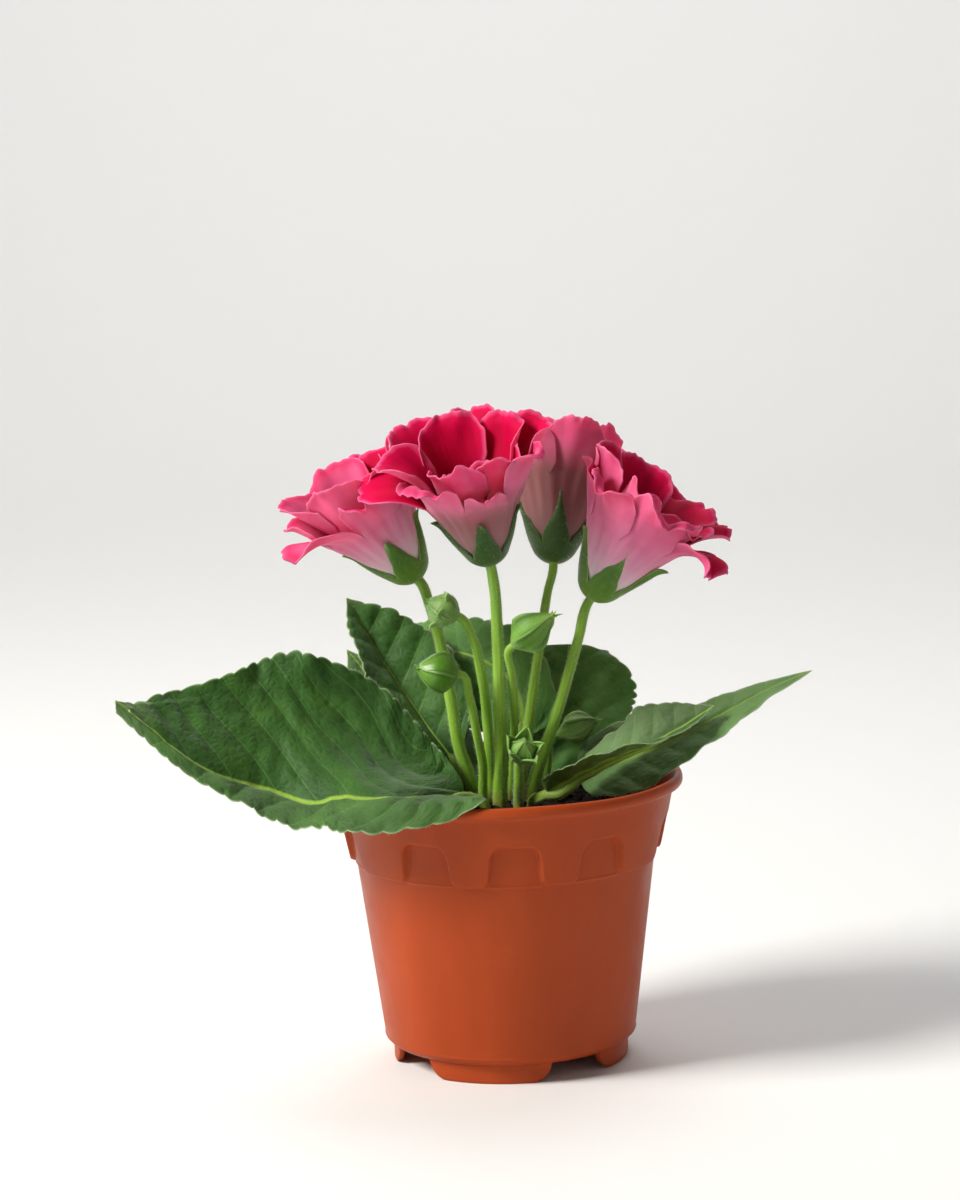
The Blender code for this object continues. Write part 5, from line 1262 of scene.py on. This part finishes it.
def makeBud(name, bud, seed):
    # Stem, body, the five sepals' free points as short horns bending out of its tip, an open star, and down
    axis = unit(np.array(bud["axis"], float))
    neck = np.array(bud["path"][-1], float)
    look = budLook
    path = evenPath(rooted(bud["path"]) + [tuple(neck + axis * look["neck"])], 60)
    radius = bud["stem"] * (1 - look["stemTaper"] * np.linspace(0, 1, 60))
    start = path[-1] - axis * look["sunk"]
    body, rings, a, b = crestedBody(start, axis, bud)
    shells = [stemShell(path, radius, 16, seed), recolored(body, 1)]
    run = np.linspace(0, 1, 7)
    for k in range(5):
        angle = math.radians(72 * k + bud["spin"])
        out = math.cos(angle) * a + math.sin(angle) * b
        far = bud["tips"] * (1.0 if k % 2 else 0.6)
        horn = (start + axis * (bud["length"] * look["hornStart"] + far * run)[:, None]
                + out * (0.10 * bud["radius"] + look["hornOut"] * far * run ** 2)[:, None])
        thin = look["horn"] * (1 - run) ** 0.8 + look["hornTip"]
        shells.append(recolored(stemShell(horn, thin, 6, seed + k), 1))
    if "star" in bud:
        star = sepalCup(starLook, bud["star"], aim(start, bud["axis"], bud["spin"]), seed)[1]
        shells.append(recolored(star, 1))
    middle = start + axis * bud["length"] * 0.45
    tufts = downOn(rings[3:-4].reshape(-1, 3), middle, bud["down"], look["scatter"], look["down"], seed)
    fuzz = stemHairs(path, radius, look["hairs"], seed, look["length"])
    shells += [recolored(tufts, 2), recolored(fuzz, 2)]
    looks = [finishes[key] for key in ("stalk", bud["finish"], "hair")]
    addPiece(name + "_sepals", shells, looks, [name])


for number, (budName, bud) in enumerate(buds.items()):
    makeBud(budName, bud, 60 + number)
print("buds made")


# Floor, lights and camera

floorShape = dict(flat=1.6, bend=1.3, wall=((2.9, 2.0), (2.9, 2.8)), color="#EFEFEE")
lights = {
    # name: place from the pot's axis in m, point it looks at, width, height, watts, colour
    "keyLeft": ((-1.07, -0.42, 1.00), (0, 0, 0.12), 0.5, 0.5, 29.0, "#FFFCF6"),
    "topBack": ((0.20, 0.50, 1.25), (0, 0, 0.15), 0.8, 0.8, 6.0, "#FFFFFF"),
    "backdrop": ((0.0, 1.9, 1.5), (0, 2.25, 0.0), 1.6, 1.0, 13.0, "#FFFFFF"),
}
worldLight = dict(color="#FFFFFF", strength=0.06)
view = dict(place=(-0.0061, -1.18657, 0.33423), down=8.58, rolled=-1.71, sensor=36.0, lens=108.15)


def addFloor():
    # Painted board, matt and pale, flat round the pot and swept up into a wall a long way off
    f = floorShape
    made = newMaterial("boardPaintedPale", {"Base Color": f["color"], "Roughness": 0.9, "IOR": 1.45})[0]
    bend = np.linspace(0, math.pi / 2, 24)
    wall = np.array(f["wall"])
    r = np.concatenate([[0.02, 0.5, 1.0], f["flat"] + f["bend"] * np.sin(bend), wall[:, 0]])
    z = np.concatenate([[0, 0, 0], f["bend"] - f["bend"] * np.cos(bend), wall[:, 1]])
    turn = np.linspace(0, 2 * math.pi, 96, endpoint=False)
    rings = np.stack([r[:, None] * np.sin(turn), r[:, None] * np.cos(turn), z[:, None] + 0 * turn], -1)
    sweep = closedTube(rings, ends=(True, False))
    mesh = bpy.data.meshes.new("floor")
    mesh.from_pydata((sweep["points"] + potAxis).tolist(), [],
                     [tuple(face) for quads, finish in sweep["faces"] for face in quads.tolist()])
    mesh.polygons.foreach_set("use_smooth", np.ones(len(mesh.polygons), bool))
    mesh.materials.append(made)
    floor = bpy.data.objects.new("floor", mesh)
    scene.collection.objects.link(floor)


def addLights():
    # Area lamps turned to their points, and a faint even light from all round
    for name, (place, target, width, height, watts, color) in lights.items():
        lamp = bpy.data.lights.new(name, "AREA")
        lamp.shape, lamp.size, lamp.size_y, lamp.energy = "RECTANGLE", width, height, watts
        lamp.color = linear(color)[:3]
        item = bpy.data.objects.new(name, lamp)
        scene.collection.objects.link(item)
        item.location = Vector(place) + Vector(potAxis)
        item.rotation_euler = (Vector(target) - Vector(place)).to_track_quat("-Z", "Y").to_euler()
    world = bpy.data.worlds.new("paleStudio")
    world.use_nodes = True
    world.node_tree.nodes["Background"].inputs[0].default_value = linear(worldLight["color"])
    world.node_tree.nodes["Background"].inputs[1].default_value = worldLight["strength"]
    scene.world = world


def addCamera():
    # The photograph's view: 1.19 m before the pot's axis, turned down and rolled by a few degrees
    pitch, roll = math.radians(view["down"]), math.radians(view["rolled"])
    ahead = Vector((0, math.cos(pitch), -math.sin(pitch)))
    above = Vector((0, math.sin(pitch), math.cos(pitch)))
    across = Vector((1, 0, 0))
    right = across * math.cos(roll) + above * math.sin(roll)
    up = above * math.cos(roll) - across * math.sin(roll)
    data = bpy.data.cameras.new("camera")
    data.sensor_width, data.lens = view["sensor"], view["lens"]
    data.clip_start, data.clip_end = 0.05, 30.0
    camera = bpy.data.objects.new("camera", data)
    scene.collection.objects.link(camera)
    turn = Matrix((right, up, -ahead)).transposed().to_4x4()
    camera.matrix_world = Matrix.Translation(Vector(view["place"]) + Vector(potAxis)) @ turn
    scene.camera = camera


addFloor()
addLights()
addCamera()
scene.view_settings.view_transform = "Standard"
print("floor, lights and camera set")
